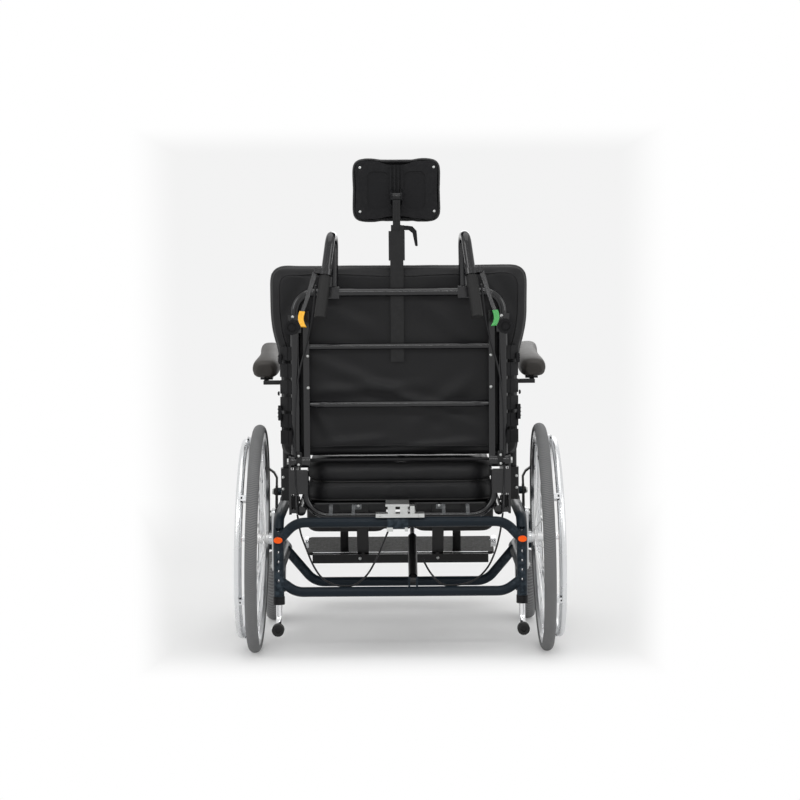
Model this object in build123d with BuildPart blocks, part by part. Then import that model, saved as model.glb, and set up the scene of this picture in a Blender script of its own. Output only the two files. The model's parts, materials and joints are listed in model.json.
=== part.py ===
from build123d import *
import os
from math import cos, pi, radians, sin, sqrt, tan

os.makedirs("parts", exist_ok=True)

# Wide manual wheelchair whose seat tilts as a whole and whose backrest reclines.
# +Y is the way the chair drives, +X its right-hand side, +Z up.
# The origin is on the floor, under the middle of the chair.

# ---- rear wheels
axle_y = -251.0  # the rear axle, behind the middle of the chair
wheel_stand = 62.0  # from the side frames' middles out to the rear wheels', at the axle
camber = 1.5  # degrees: the wheels stand wider at the floor
wheel_diameter = 610.0
tyre_width = 32.0
bead_width = 20.0
rim_diameter = 568.0
rim_width = 25.0
rim_depth = 21.0
rim_well = 5.3  # from the rim's edge to the floor that the bead sits on
hand_rim_diameter = 535.0
hand_rim_tube = 20.0
hand_rim_stand = 35.0  # from the wheel's middle to the hand rim's
hand_rim_tabs = 6
spoke_count = 36
spoke_thickness = 2.2
hub_barrel = 26.0
hub_flange = 46.0
hub_flange_spread = 40.0
hub_inner = 29.0  # from the wheel's middle to the hub's inner end
hub_outer = 33.0
axle_diameter = 12.7

# ---- casters
caster_reach = 500.0  # from the rear axle forward to the caster axles
caster_trail = 45.0
caster_stand = 48.0  # from the side frames' middles out to the casters'
caster_diameter = 200.0
caster_width = 40.0
caster_hub = 148.0
caster_axle = 12.0
fork_gap = 50.0
fork_leg = 8.0
fork_crown_low = 205.0
swivel_stem = 24.0

# ---- frame
frame_width = 640.0  # between the middles of the side frames
frame_tube = 28.0
upright_setback = 120.0  # from the rear axle back to the uprights
upright_foot = 167.0
rail_height = 370.0
lower_rail_height = 235.0
frame_bend = 60.0
rail_drop_reach = 380.0  # from the axle to where the upper tube turns down
lower_rise_reach = 330.0
head_tube = 42.0
head_low = 222.0
head_high = 312.0
cross_tube = 26.0
cross_height = 362.0
cross_end = 45.0  # from the side frames' middles in to the rear bars' bends
cross_drop = 40.0
low_bar_height = 178.0
low_bar_rise = 27.0
front_bar_reach = 250.0
front_bar_height = 148.0
front_bar_end = 80.0
front_bar_rise = 79.0
adjust_pitch = 25.0
adjust_count = 4
adjust_high = 285.0
adjust_hole = 7.0
receiver_plate = 8.0
receiver_width = 60.0
receiver_sleeve = 30.0

# ---- anti-tippers and their release buttons
tipper_tube = 15.6
tipper_top = 340.0
tipper_height = 88.0
tipper_back = 62.0  # how far the foot reaches behind the upright
tipper_bend = 34.0
tip_diameter = 32.0
tip_length = 30.0
collar_diameter = 31.0
collar_low = 146.0
button_height = 318.0
button_wide = 23.0
button_tall = 16.0
button_travel = 3.0
button_stem = 6.0

# ---- seat
seat_rail = 25.0
seat_rail_bend = 45.0
seat_cross = 22.0
seat_rail_inset = 58.0  # from the side frames' middles in to the seat's rails
seat_rail_height = 385.0
seat_rail_reach = 420.0  # from the rear axle to the front cross tube
hoop_tube = 18.0
hoop_inset = 70.0
hoop_setback = 50.0
hoop_low = 371.0
hoop_bend = 60.0
seat_pan = 4.0
seat_pan_inset = 62.0
cushion_inset = 63.0
cushion_depth = 470.0
cushion_thickness = 116.0
cushion_corner = 70.0
cushion_setback = 30.0
bearing_width = 54.0
bearing_wall = 6.0
bearing_plate_width = 127.0
bearing_x = -6.0
knee_stand = 32.0  # from the front cross tube forward to the rod that the legrest hangs on
knee_rod = 16.0

# ---- backrest
recline_setback = 45.0  # from the rear axle back to the recline axis
recline_height = 516.0
recline_pin = 12.0
recline_barrel = 34.0
post_inset = 46.0  # from the side frames' middles in to the back posts
post_tube = 26.0
post_high = 906.0
side_bar_inset = 29.0  # from the back posts' middles
side_bar_width = 16.0
side_bar_high = 915.0
back_tube = 17.0
back_tube_forward = 5.0  # of the posts' middles
back_tube_high = 820.0
back_tube_low = 668.0
back_tube_bow = 22.0
clamp_back = 28.0
cheek_stand = 17.0  # from the back posts' middles out to the seat's brackets
cheek_thickness = 6.0
back_low_overhang = 46.0  # past the back posts' middles
back_high_overhang = 78.0
back_low = 522.0
back_high = 1040.0
back_wing = 258.0  # from its lower edge up to where it widens
back_thickness = 80.0
back_gap = 25.0  # from the recline axis forward to the cushion
strap_count = 6
strap_height = 38.0
strap_thickness = 3.0

# ---- push bar, handles and levers
push_tube = 22.0
push_height = 963.0
push_bend = 50.0
push_low = 660.0
clamp_height = 48.0
knob_diameter = 40.0
knob_length = 20.0
knob_stand = 6.0  # from the back posts' middles
knob_rise = 15.0  # from the clamps' lower edge
handle_spacing = 344.0
handle_tube = 25.0
handle_top = 1111.0
handle_back = 70.0
handle_bend = 32.0
handle_end_height = 905.0
handle_end_spread = 31.0
handle_end_back = 135.0
grip_diameter = 30.0
grip_length = 112.0
lever_up = 118.0  # from the handle's end up to the lever's pivot
lever_collar = 34.0
lever_stand = 25.0
lever_thickness = 6.0
lever_reach = 126.0
lever_pin = 6.0

# ---- headrest
head_x = -4.0
mount_plate_width = 35.0
mount_plate = 7.0
mount_plate_low = 778.0
mount_block_width = 43.0
mount_block_low = 1046.0
mount_block_high = 1124.0
mount_block_depth = 40.0
stem_width = 20.0
stem_depth = 9.0
stem_gap = 8.2  # from the mount's plate to the stem
clamp_pin = 5.0
shell_stand = 31.0  # from the stem's middle forward to the shell
head_pivot_height = 1215.0
head_pin = 8.0
head_width = 234.0
head_height = 168.0
head_low_edge = 1149.0
head_shell = 8.0
head_pad = 46.0

# ---- armrests
arm_reach = 85.0
arm_tube = 22.0
arm_inset = 14.0  # from the side frames' middles in to the armrest posts
arm_socket_rise = 13.0  # above the seat's rails
arm_socket_height = 88.0
arm_pad_low = 727.0
arm_pad_thickness = 40.0
arm_pad_rear = 66.0
arm_pad_length = 334.0
arm_pad_width = 78.0
arm_pad_stand = 57.0  # from the armrest posts out to the pads
arm_pad_slope = 7.5
guard_inset = 33.0
guard_thickness = 4.0
guard_reach = 106.0
guard_length = 300.0
guard_high = 640.0

# ---- legrest
leg_tube = 34.0
leg_tube_depth = 14.0
leg_tube_spacing = 222.0
shin_reach = 220.0  # from the knee rod forward to the footboard's pin
foot_height = 162.0
foot_width = 560.0
foot_depth = 126.0
foot_thickness = 9.0
foot_slope = 14.0
foot_setback = 12.0  # from the hinge pin forward to the plate
foot_pin = 10.0
calf_width = 238.0
calf_gap = 76.0
calf_length = 150.0
calf_thickness = 40.0
calf_drop = 128.0  # from the knee rod along the tubes to the pads' middle
leg_barrel = 28.0
leg_band_back = 15.0
leg_band_height = 26.0

# ---- parking brakes
brake_reach = 345.0
brake_pin = 10.0
brake_pin_rise = 22.0  # above the side frames' upper tubes
brake_stand = 29.0  # from the side frames' middles
brake_plate = 7.0
brake_shoe = 16.0
brake_shoe_drop = 60.0
brake_shoe_back = 20.0
brake_handle = 150.0

# ---- gas springs
tilt_spring_x = 33.0
tilt_foot_rise = 29.0  # above the lower rear bar
tilt_head_reach = 300.0
tilt_head_drop = 30.0  # below the seat's rails
tilt_cylinder = 24.0
tilt_cylinder_length = 250.0
tilt_rod = 12.0
recline_arm = 55.0
recline_foot_reach = 240.0
recline_foot_rise = 55.0  # above the seat's rails
recline_spring_inset = 1.5  # from the back posts' middles
recline_cylinder = 18.0
recline_cylinder_length = 130.0
recline_rod = 8.0
spring_pin = 8.0
spring_eye = 20.0
spring_eye_width = 15.0
spring_neck = 20.0  # from the pins to where the cylinder and the release head begin
loose_pivot = 2.6  # how much larger, in radius, the eye is at each spring's open end

# ---- clearances
running = 0.05  # radial, where one piece turns or slides in another
seating = 0.3  # between pieces that are bolted or laid on each other
weld_gap = 0.2
cable_diameter = 5.0
cable_back = 28.0  # from the uprights' middles forward to the cables

sides = ((-1, "left"), (1, "right"))
wheel_radius = wheel_diameter / 2
crown_radius = tyre_width / 2
axle_z = (wheel_radius - crown_radius) * cos(radians(camber)) + crown_radius
upright_y = axle_y - upright_setback
caster_y = axle_y + caster_reach
swivel_y = caster_y + caster_trail
frame_x = frame_width / 2
wheel_x = frame_x + wheel_stand
swivel_x = frame_x + caster_stand
post_x = frame_x - post_inset
side_bar_x = post_x - side_bar_inset
cheek_x = post_x + cheek_stand
post_y = axle_y - recline_setback
hoop_y = axle_y - hoop_setback
rail_x = frame_x - seat_rail_inset
hoop_x = frame_x - hoop_inset
arm_x = frame_x - arm_inset
arm_pad_x = arm_x + arm_pad_stand
guard_x = frame_x - guard_inset
brake_x = frame_x + brake_stand
recline_spring_x = post_x - recline_spring_inset
seat_top = seat_rail_height + seat_rail / 2 + seating + seat_pan
seat_front_y = axle_y + seat_rail_reach
knee_y = seat_front_y + knee_stand
foot_y = knee_y + shin_reach
arm_socket_low = seat_rail_height + arm_socket_rise
arm_socket_high = arm_socket_low + arm_socket_height
clamp_low = post_high - clamp_height
knob_x = post_x + knob_stand
knob_height = clamp_low + knob_rise
brake_pin_height = rail_height + brake_pin_rise
tilt_foot_height = low_bar_height + tilt_foot_rise
tilt_head_height = seat_rail_height - tilt_head_drop
recline_foot_height = seat_rail_height + recline_foot_rise
arm_y = axle_y + arm_reach
brake_y = axle_y + brake_reach
tilt_head_y = axle_y + tilt_head_reach
recline_foot_y = axle_y + recline_foot_reach


def save(piece, name):
    piece.part.label = name
    export_step(piece.part, f"parts/{name}.step")


def bent_tube(points, bends, diameter, mode=Mode.ADD):
    # a round bar or tube along straight runs joined by arcs
    with BuildLine() as route:
        FilletPolyline(*points, radius=bends)
    with BuildSketch(Plane(origin=route.line @ 0, z_dir=route.line % 0)) as section:
        Circle(diameter / 2)
    sweep(section.sketch, path=route.line, mode=mode)
    return route.wires()[0].length


def rod(start, end, diameter, mode=Mode.ADD):
    direction = Vector(*end) - Vector(*start)
    with BuildSketch(Plane(origin=start, z_dir=direction)) as section:
        Circle(diameter / 2)
    extrude(section.sketch, amount=direction.length, mode=mode)


def block(low, high, mode=Mode.ADD):
    # a rectangular block between two corners
    size = Vector(*high) - Vector(*low)
    with BuildSketch(Plane(origin=low)) as section:
        Rectangle(size.X, size.Y, align=(Align.MIN, Align.MIN))
    extrude(section.sketch, amount=size.Z, mode=mode)


def plate_across(x, thickness, points, corner, mode=Mode.ADD):
    # a plate that stands across the chair, its outline given as (y, z) points
    with BuildSketch(Plane(origin=(x, 0, 0), x_dir=(0, 1, 0), z_dir=(1, 0, 0))) as section:
        with BuildLine():
            Polyline(*points, close=True)
        make_face()
        fillet(section.vertices(), corner)
    extrude(section.sketch, amount=thickness / 2, both=True, mode=mode)


def pillow(plane, width, length, thickness, corner, edge, draw_in, levels=7):
    # a stuffed pad on plane: its faces crown, its corners stand and its sides pull in
    sections = []
    for level in range(levels):
        share = level / (levels - 1)
        swell = abs(2 * share - 1)
        inset = edge * (1 - sqrt(1 - swell**3))
        half_w, half_l = width / 2 - inset, length / 2 - inset
        pull = draw_in * (1 - 0.8 * swell)
        with BuildSketch(plane.offset(share * thickness)) as section:
            with BuildLine():
                ThreePointArc((-half_w, -half_l), (0, pull - half_l), (half_w, -half_l))
                ThreePointArc((half_w, -half_l), (half_w - pull, 0), (half_w, half_l))
                ThreePointArc((half_w, half_l), (0, half_l - pull), (-half_w, half_l))
                ThreePointArc((-half_w, half_l), (pull - half_w, 0), (-half_w, -half_l))
            make_face()
            fillet(section.vertices(), corner)
        sections.append(section.sketch)
    loft(sections, ruled=True)


def wheel_planes(side):
    # the wheel's outward axis, a plane across it and a plane through it for revolved sections
    origin = (side * wheel_x, axle_y, axle_z)
    outward = Vector(side * cos(radians(camber)), 0, sin(radians(camber)))
    across = Plane(origin=origin, x_dir=(0, 1, 0), z_dir=outward)
    through = Plane(origin=origin, x_dir=(0, 1, 0), z_dir=Vector(0, 1, 0).cross(outward))
    return Axis(origin, outward), across, through


def rear_wheel(side, hand):
    axis, across, through = wheel_planes(side)
    rim_radius = rim_diameter / 2
    bead = bead_width / 2
    well = rim_radius - rim_well
    centre = wheel_radius - crown_radius

    with BuildPart() as tyre:
        with BuildSketch(through):
            with BuildLine():
                ThreePointArc((centre, -crown_radius), (wheel_radius, 0), (centre, crown_radius))
                Polyline(
                    (centre, crown_radius),
                    (rim_radius + seating, rim_width / 2),
                    (rim_radius + seating, bead),
                    (well + seating, bead),
                    (well + seating, -bead),
                    (rim_radius + seating, -bead),
                    (rim_radius + seating, -rim_width / 2),
                    (centre, -crown_radius),
                )
            make_face()
        revolve(axis=axis)
    save(tyre, f"rear_tyre_{hand}")

    floor = rim_radius - rim_depth
    with BuildPart() as rim:
        with BuildSketch(through):
            with BuildLine():
                Polyline(
                    (floor, -rim_width / 4),
                    (floor, rim_width / 4),
                    (floor + rim_depth / 3, rim_width / 2),
                    (rim_radius, rim_width / 2),
                    (rim_radius, bead + seating),
                    (well, bead + seating),
                    (well, -bead - seating),
                    (rim_radius, -bead - seating),
                    (rim_radius, -rim_width / 2),
                    (floor + rim_depth / 3, -rim_width / 2),
                    close=True,
                )
            make_face()
        revolve(axis=axis)
    save(rim, f"rear_rim_{hand}")

    # each flange sends half of its spokes forward and half back, three crossings each
    flange_y = hub_flange_spread / 2
    hole_radius = hub_flange / 2 - 3
    lean = 60
    step = 720 / spoke_count
    bore = hub_barrel / 2 + weld_gap
    with BuildPart() as hub:
        # the barrel, and a flange pressed on each end of it
        with BuildSketch(through):
            with BuildLine():
                Polyline(
                    (0, -hub_inner),
                    (hub_barrel / 2, -hub_inner),
                    (hub_barrel / 2, hub_outer - 3),
                    (hub_barrel / 2 - 3, hub_outer),
                    (0, hub_outer),
                    close=True,
                )
            make_face()
        revolve(axis=axis)
        for flange in (-1, 1):
            with BuildSketch(through):
                with BuildLine():
                    Polyline(
                        (bore, flange * (flange_y + 2)),
                        (hub_flange / 2, flange * (flange_y + 2)),
                        (hub_flange / 2, flange * (flange_y - 2)),
                        (bore, flange * (flange_y - 6)),
                        close=True,
                    )
                make_face()
            revolve(axis=axis)
        spoke_planes = []
        for flange in (-1, 1):
            for number in range(spoke_count // 2):
                way = 1 if number % 2 else -1
                at_hub = radians(number * step + (flange + 1) * step / 4)
                at_rim = at_hub + way * radians(lean)
                out = flange * (flange_y + way * spoke_thickness * 0.8)
                out_rim = flange * (2.5 + way * spoke_thickness * 0.7)
                start = across.from_local_coords(
                    Vector(hole_radius * cos(at_hub), hole_radius * sin(at_hub), out)
                )
                end_radius = floor - seating
                end = across.from_local_coords(
                    Vector(end_radius * cos(at_rim), end_radius * sin(at_rim), out_rim)
                )
                spoke_planes.append(Plane(origin=start, z_dir=end - start))
                spoke_length = (end - start).length
        with BuildSketch(*spoke_planes):
            Rectangle(spoke_thickness, spoke_thickness)
        extrude(amount=spoke_length - spoke_thickness / 4)
        with BuildSketch(across.offset(-hub_inner)):
            Circle(axle_diameter / 2)
        extrude(amount=-(wheel_x - frame_x - frame_tube / 2 - hub_inner + receiver_plate))
    save(hub, f"rear_hub_{hand}")

    ring = (hand_rim_diameter - hand_rim_tube) / 2
    with BuildPart() as hand_rim:
        with BuildSketch(through):
            with Locations((ring, hand_rim_stand)):
                Circle(hand_rim_tube / 2)
        revolve(axis=axis)
        with BuildSketch(across.offset(rim_width / 2 + seating)) as feet:
            with PolarLocations((rim_radius + floor + rim_depth / 3) / 2, hand_rim_tabs, 30):
                Rectangle(rim_depth * 2 / 3, 22)
        extrude(feet.sketch, amount=4)
        with BuildSketch(across.offset(rim_width / 2 + seating)) as arms:
            with PolarLocations((ring + rim_radius - rim_depth * 2 / 3) / 2, hand_rim_tabs, 30):
                Rectangle(rim_radius - rim_depth * 2 / 3 - ring + 4, 16)
        extrude(arms.sketch, amount=hand_rim_stand - rim_width / 2 - 4)
    save(hand_rim, f"hand_rim_{hand}")


for side, hand in sides:
    rear_wheel(side, hand)


# ---- casters: the fork swivels in the head tube, and the wheel turns in the fork
def caster(side, hand):
    x = side * swivel_x
    wheel = caster_diameter / 2
    spin = Axis((x, caster_y, wheel), (1, 0, 0))
    through = Plane(origin=(x, caster_y, wheel), x_dir=(0, 1, 0), z_dir=(0, 0, -1))
    with BuildPart() as caster_wheel:
        with BuildSketch(through):
            with BuildLine():
                ThreePointArc((wheel - 10, -caster_width / 2), (wheel, 0), (wheel - 10, caster_width / 2))
                Polyline(
                    (wheel - 10, caster_width / 2),
                    (caster_hub / 2 + seating, caster_width / 2 - 4),
                    (caster_hub / 2 + seating, 4 - caster_width / 2),
                    (wheel - 10, -caster_width / 2),
                )
            make_face()
        revolve(axis=spin)
        with BuildSketch(through):
            with BuildLine():
                Polyline(
                    (caster_axle / 2 + running, -fork_gap / 2 + 1),
                    (18, -fork_gap / 2 + 1),
                    (22, -8),
                    (caster_hub / 2 - 12, -6),
                    (caster_hub / 2 - 6, 6 - caster_width / 2),
                    (caster_hub / 2, 6 - caster_width / 2),
                    (caster_hub / 2, caster_width / 2 - 6),
                    (caster_hub / 2 - 6, caster_width / 2 - 6),
                    (caster_hub / 2 - 12, 6),
                    (22, 8),
                    (18, fork_gap / 2 - 1),
                    (caster_axle / 2 + running, fork_gap / 2 - 1),
                    close=True,
                )
            make_face()
        revolve(axis=spin)
    save(caster_wheel, f"caster_wheel_{hand}")

    crown_high = head_low - seating
    leg_x = fork_gap / 2 + fork_leg / 2
    with BuildPart() as fork:
        for leg_side in (-1, 1):
            plate_across(
                x + leg_side * leg_x,
                fork_leg,
                (
                    (caster_y - 16, wheel - 18),
                    (caster_y + 16, wheel - 18),
                    (swivel_y + 24, fork_crown_low - 10),
                    (swivel_y + 24, crown_high),
                    (swivel_y - 52, crown_high),
                    (caster_y - 18, wheel + 40),
                ),
                9,
            )
        block(
            (x - leg_x, swivel_y - 48, fork_crown_low),
            (x + leg_x, swivel_y + 22, crown_high),
        )
        rod((x - leg_x, caster_y, wheel), (x + leg_x, caster_y, wheel), caster_axle)
        rod((x, swivel_y, crown_high - 1), (x, swivel_y, head_high - 18), swivel_stem)
    save(fork, f"caster_fork_{hand}")


# ---- side frames: upright, upper and lower tubes and caster head, welded into one loop
def upper_tube(side, diameter, mode=Mode.ADD):
    x = side * frame_x
    bent_tube(
        [
            (x, upright_y, upright_foot),
            (x, upright_y, rail_height),
            (x, axle_y + rail_drop_reach, rail_height),
            (side * swivel_x, swivel_y - head_tube / 4, head_high - 28),
        ],
        [frame_bend, frame_bend],
        diameter,
        mode,
    )


def side_frame(side, hand):
    x = side * frame_x
    head = side * swivel_x
    head_rear = swivel_y - head_tube / 4
    with BuildPart() as frame:
        upper_tube(side, frame_tube)
        bent_tube(
            [
                (x, upright_y, lower_rail_height),
                (x, axle_y + lower_rise_reach, lower_rail_height),
                (head, head_rear, head_low + 30),
            ],
            [frame_bend],
            frame_tube,
        )
        rod((head, swivel_y, head_low), (head, swivel_y, head_high), head_tube)
        rod(
            (head, swivel_y, head_low),
            (head, swivel_y, head_high - 15),
            swivel_stem + 2 * running,
            Mode.SUBTRACT,
        )
        rod(
            (x, upright_y, upright_foot),
            (x, upright_y, tipper_top + 8),
            tipper_tube + 2 * running,
            Mode.SUBTRACT,
        )
        for number in range(adjust_count):
            height = adjust_high - number * adjust_pitch
            rod((x, upright_y - frame_tube, height), (x, upright_y, height), adjust_hole, Mode.SUBTRACT)
        rod(
            (x, upright_y - frame_tube, button_height),
            (x, upright_y, button_height),
            button_stem + 2 * running,
            Mode.SUBTRACT,
        )
        # the brake's clamp on the upper tube, with the boss and pin that its lever turns on
        boss_x = side * (brake_x - brake_plate / 2 - seating)
        rod((x, brake_y - 14, rail_height), (x, brake_y + 14, rail_height), frame_tube + 10)
        rod((x, brake_y, brake_pin_height), (boss_x, brake_y, brake_pin_height), brake_pin + 12)
        rod(
            (boss_x, brake_y, brake_pin_height),
            (boss_x + side * (brake_plate + 4), brake_y, brake_pin_height),
            brake_pin,
        )
    save(frame, f"side_frame_{hand}")


def swan_bar(y, height, end, rise, diameter, mode=Mode.ADD):
    # a cross bar with a straight middle, whose ends bend and are coped to the side frames
    bent_tube(
        [
            (-frame_x, y, height + rise * 1.2),
            (end - frame_x, y, height),
            (frame_x - end, y, height),
            (frame_x, y, height + rise * 1.2),
        ],
        [frame_bend, frame_bend],
        diameter,
        mode,
    )


def cut_at_uprights():
    for side, _ in sides:
        upper_tube(side, frame_tube + 2 * weld_gap, Mode.SUBTRACT)
        block(
            (side * (frame_x + 50) - 50, upright_y - 50, 0),
            (side * (frame_x + 50) + 50, upright_y + 50, 2 * rail_height),
            Mode.SUBTRACT,
        )


for side, hand in sides:
    caster(side, hand)
    side_frame(side, hand)

with BuildPart() as rear_cross_tube:
    swan_bar(upright_y, cross_height, cross_end, -cross_drop, cross_tube)
    cut_at_uprights()
save(rear_cross_tube, "rear_cross_tube")

# the lower bars and the clevis that carries the foot of the tilt spring
front_bar_y = axle_y + front_bar_reach
with BuildPart() as lower_cross_tubes:
    swan_bar(upright_y, low_bar_height, cross_end, low_bar_rise, cross_tube)
    clevis_low = low_bar_height + cross_tube / 4
    lug_inner = spring_eye_width / 2 + seating
    for lug_side in (-1, 1):
        plate_across(
            tilt_spring_x + lug_side * (lug_inner + 2.5),
            5,
            (
                (upright_y - 14, clevis_low),
                (upright_y + 14, clevis_low),
                (upright_y + 9, tilt_foot_height + 9),
                (upright_y - 9, tilt_foot_height + 9),
            ),
            3,
        )
    rod(
        (tilt_spring_x - lug_inner - 5, upright_y, tilt_foot_height),
        (tilt_spring_x + lug_inner + 5, upright_y, tilt_foot_height),
        spring_pin,
    )
    cut_at_uprights()
    swan_bar(front_bar_y, front_bar_height, front_bar_end, front_bar_rise, cross_tube)
    for side, _ in sides:
        rod(
            (side * frame_x, front_bar_y - 50, lower_rail_height),
            (side * frame_x, front_bar_y + 50, lower_rail_height),
            frame_tube + 2 * weld_gap,
            Mode.SUBTRACT,
        )
        block(
            (side * (frame_x + 50) - 50, front_bar_y - 50, front_bar_height),
            (side * (frame_x + 50) + 50, front_bar_y + 50, rail_height),
            Mode.SUBTRACT,
        )
save(lower_cross_tubes, "lower_cross_tubes")

# plates bolted outside the side frames, each with a sleeve that the wheel's axle slides into
with BuildPart() as axle_receivers:
    for side, hand in sides:
        axis, across, through = wheel_planes(side)
        inner = frame_x + frame_tube / 2 + seating
        plate_across(
            side * (inner + receiver_plate / 2),
            receiver_plate,
            (
                (axle_y - receiver_width / 2, lower_rail_height - frame_tube / 2),
                (axle_y + receiver_width / 2, lower_rail_height - frame_tube / 2),
                (axle_y + receiver_width / 2, rail_height + frame_tube / 2),
                (axle_y - receiver_width / 2, rail_height + frame_tube / 2),
            ),
            8,
        )
        with BuildSketch(across.offset(-hub_inner - 1)):
            Circle(receiver_sleeve / 2)
        extrude(amount=-(wheel_x - frame_x - hub_inner - 1))
        with BuildSketch(across.offset(-hub_inner)):
            Circle(axle_diameter / 2 + running)
        extrude(amount=-(wheel_x - frame_x), mode=Mode.SUBTRACT)
save(axle_receivers, "axle_receivers")

with BuildPart() as upright_collars:
    for side, _ in sides:
        foot = (side * frame_x, upright_y, collar_low)
        top = (side * frame_x, upright_y, upright_foot - seating)
        rod(foot, top, collar_diameter)
        rod(foot, top, tipper_tube + 2 * running, Mode.SUBTRACT)
save(upright_collars, "upright_collars")


# ---- anti-tippers: a chrome tube that slides out of the upright, with a rubber foot
for side, hand in sides:
    x = side * frame_x
    foot_end = upright_y - tipper_back
    with BuildPart() as tipper:
        bent_tube(
            [(x, upright_y, tipper_top), (x, upright_y, tipper_height), (x, foot_end, tipper_height)],
            [tipper_bend],
            tipper_tube,
        )
    save(tipper, f"anti_tipper_tube_{hand}")

    face = Plane(origin=(x, foot_end + tip_length * 0.6, tipper_height), z_dir=(0, -1, 0))
    with BuildPart() as tip:
        with BuildSketch(face):
            Circle(tip_diameter / 2)
        extrude(amount=tip_length)
        fillet(tip.edges().filter_by(GeomType.CIRCLE), 4)
        with BuildSketch(face):
            Circle(tipper_tube / 2 + running)
        extrude(amount=tip_length * 0.6 + seating, mode=Mode.SUBTRACT)
        with BuildSketch(face.offset(tip_length)):
            Circle(tip_diameter / 4)
        extrude(amount=-5, mode=Mode.SUBTRACT)
    save(tip, f"anti_tipper_tip_{hand}")

    # an oval button whose hollow back follows the tube and the cross bar, on a stem that goes through the wall
    rear = upright_y - frame_tube / 2
    with BuildPart() as button:
        face = Plane(origin=(x, rear - button_travel - 6, button_height), x_dir=(1, 0, 0), z_dir=(0, 1, 0))
        with BuildSketch(face):
            Ellipse(button_wide / 2, button_tall / 2)
        extrude(amount=14)
        rod(
            (x, upright_y, button_height - button_tall),
            (x, upright_y, button_height + button_tall),
            frame_tube + 2 * (button_travel + seating),
            Mode.SUBTRACT,
        )
        hollow = cross_tube + 2 * (button_travel + seating)
        swan_bar(upright_y, cross_height, cross_end, -cross_drop, hollow, Mode.SUBTRACT)
        rod(
            (x, rear - button_travel - 4, button_height),
            (x, rear + 2.5, button_height),
            button_stem,
        )
    save(button, f"release_button_{hand}")


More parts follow.
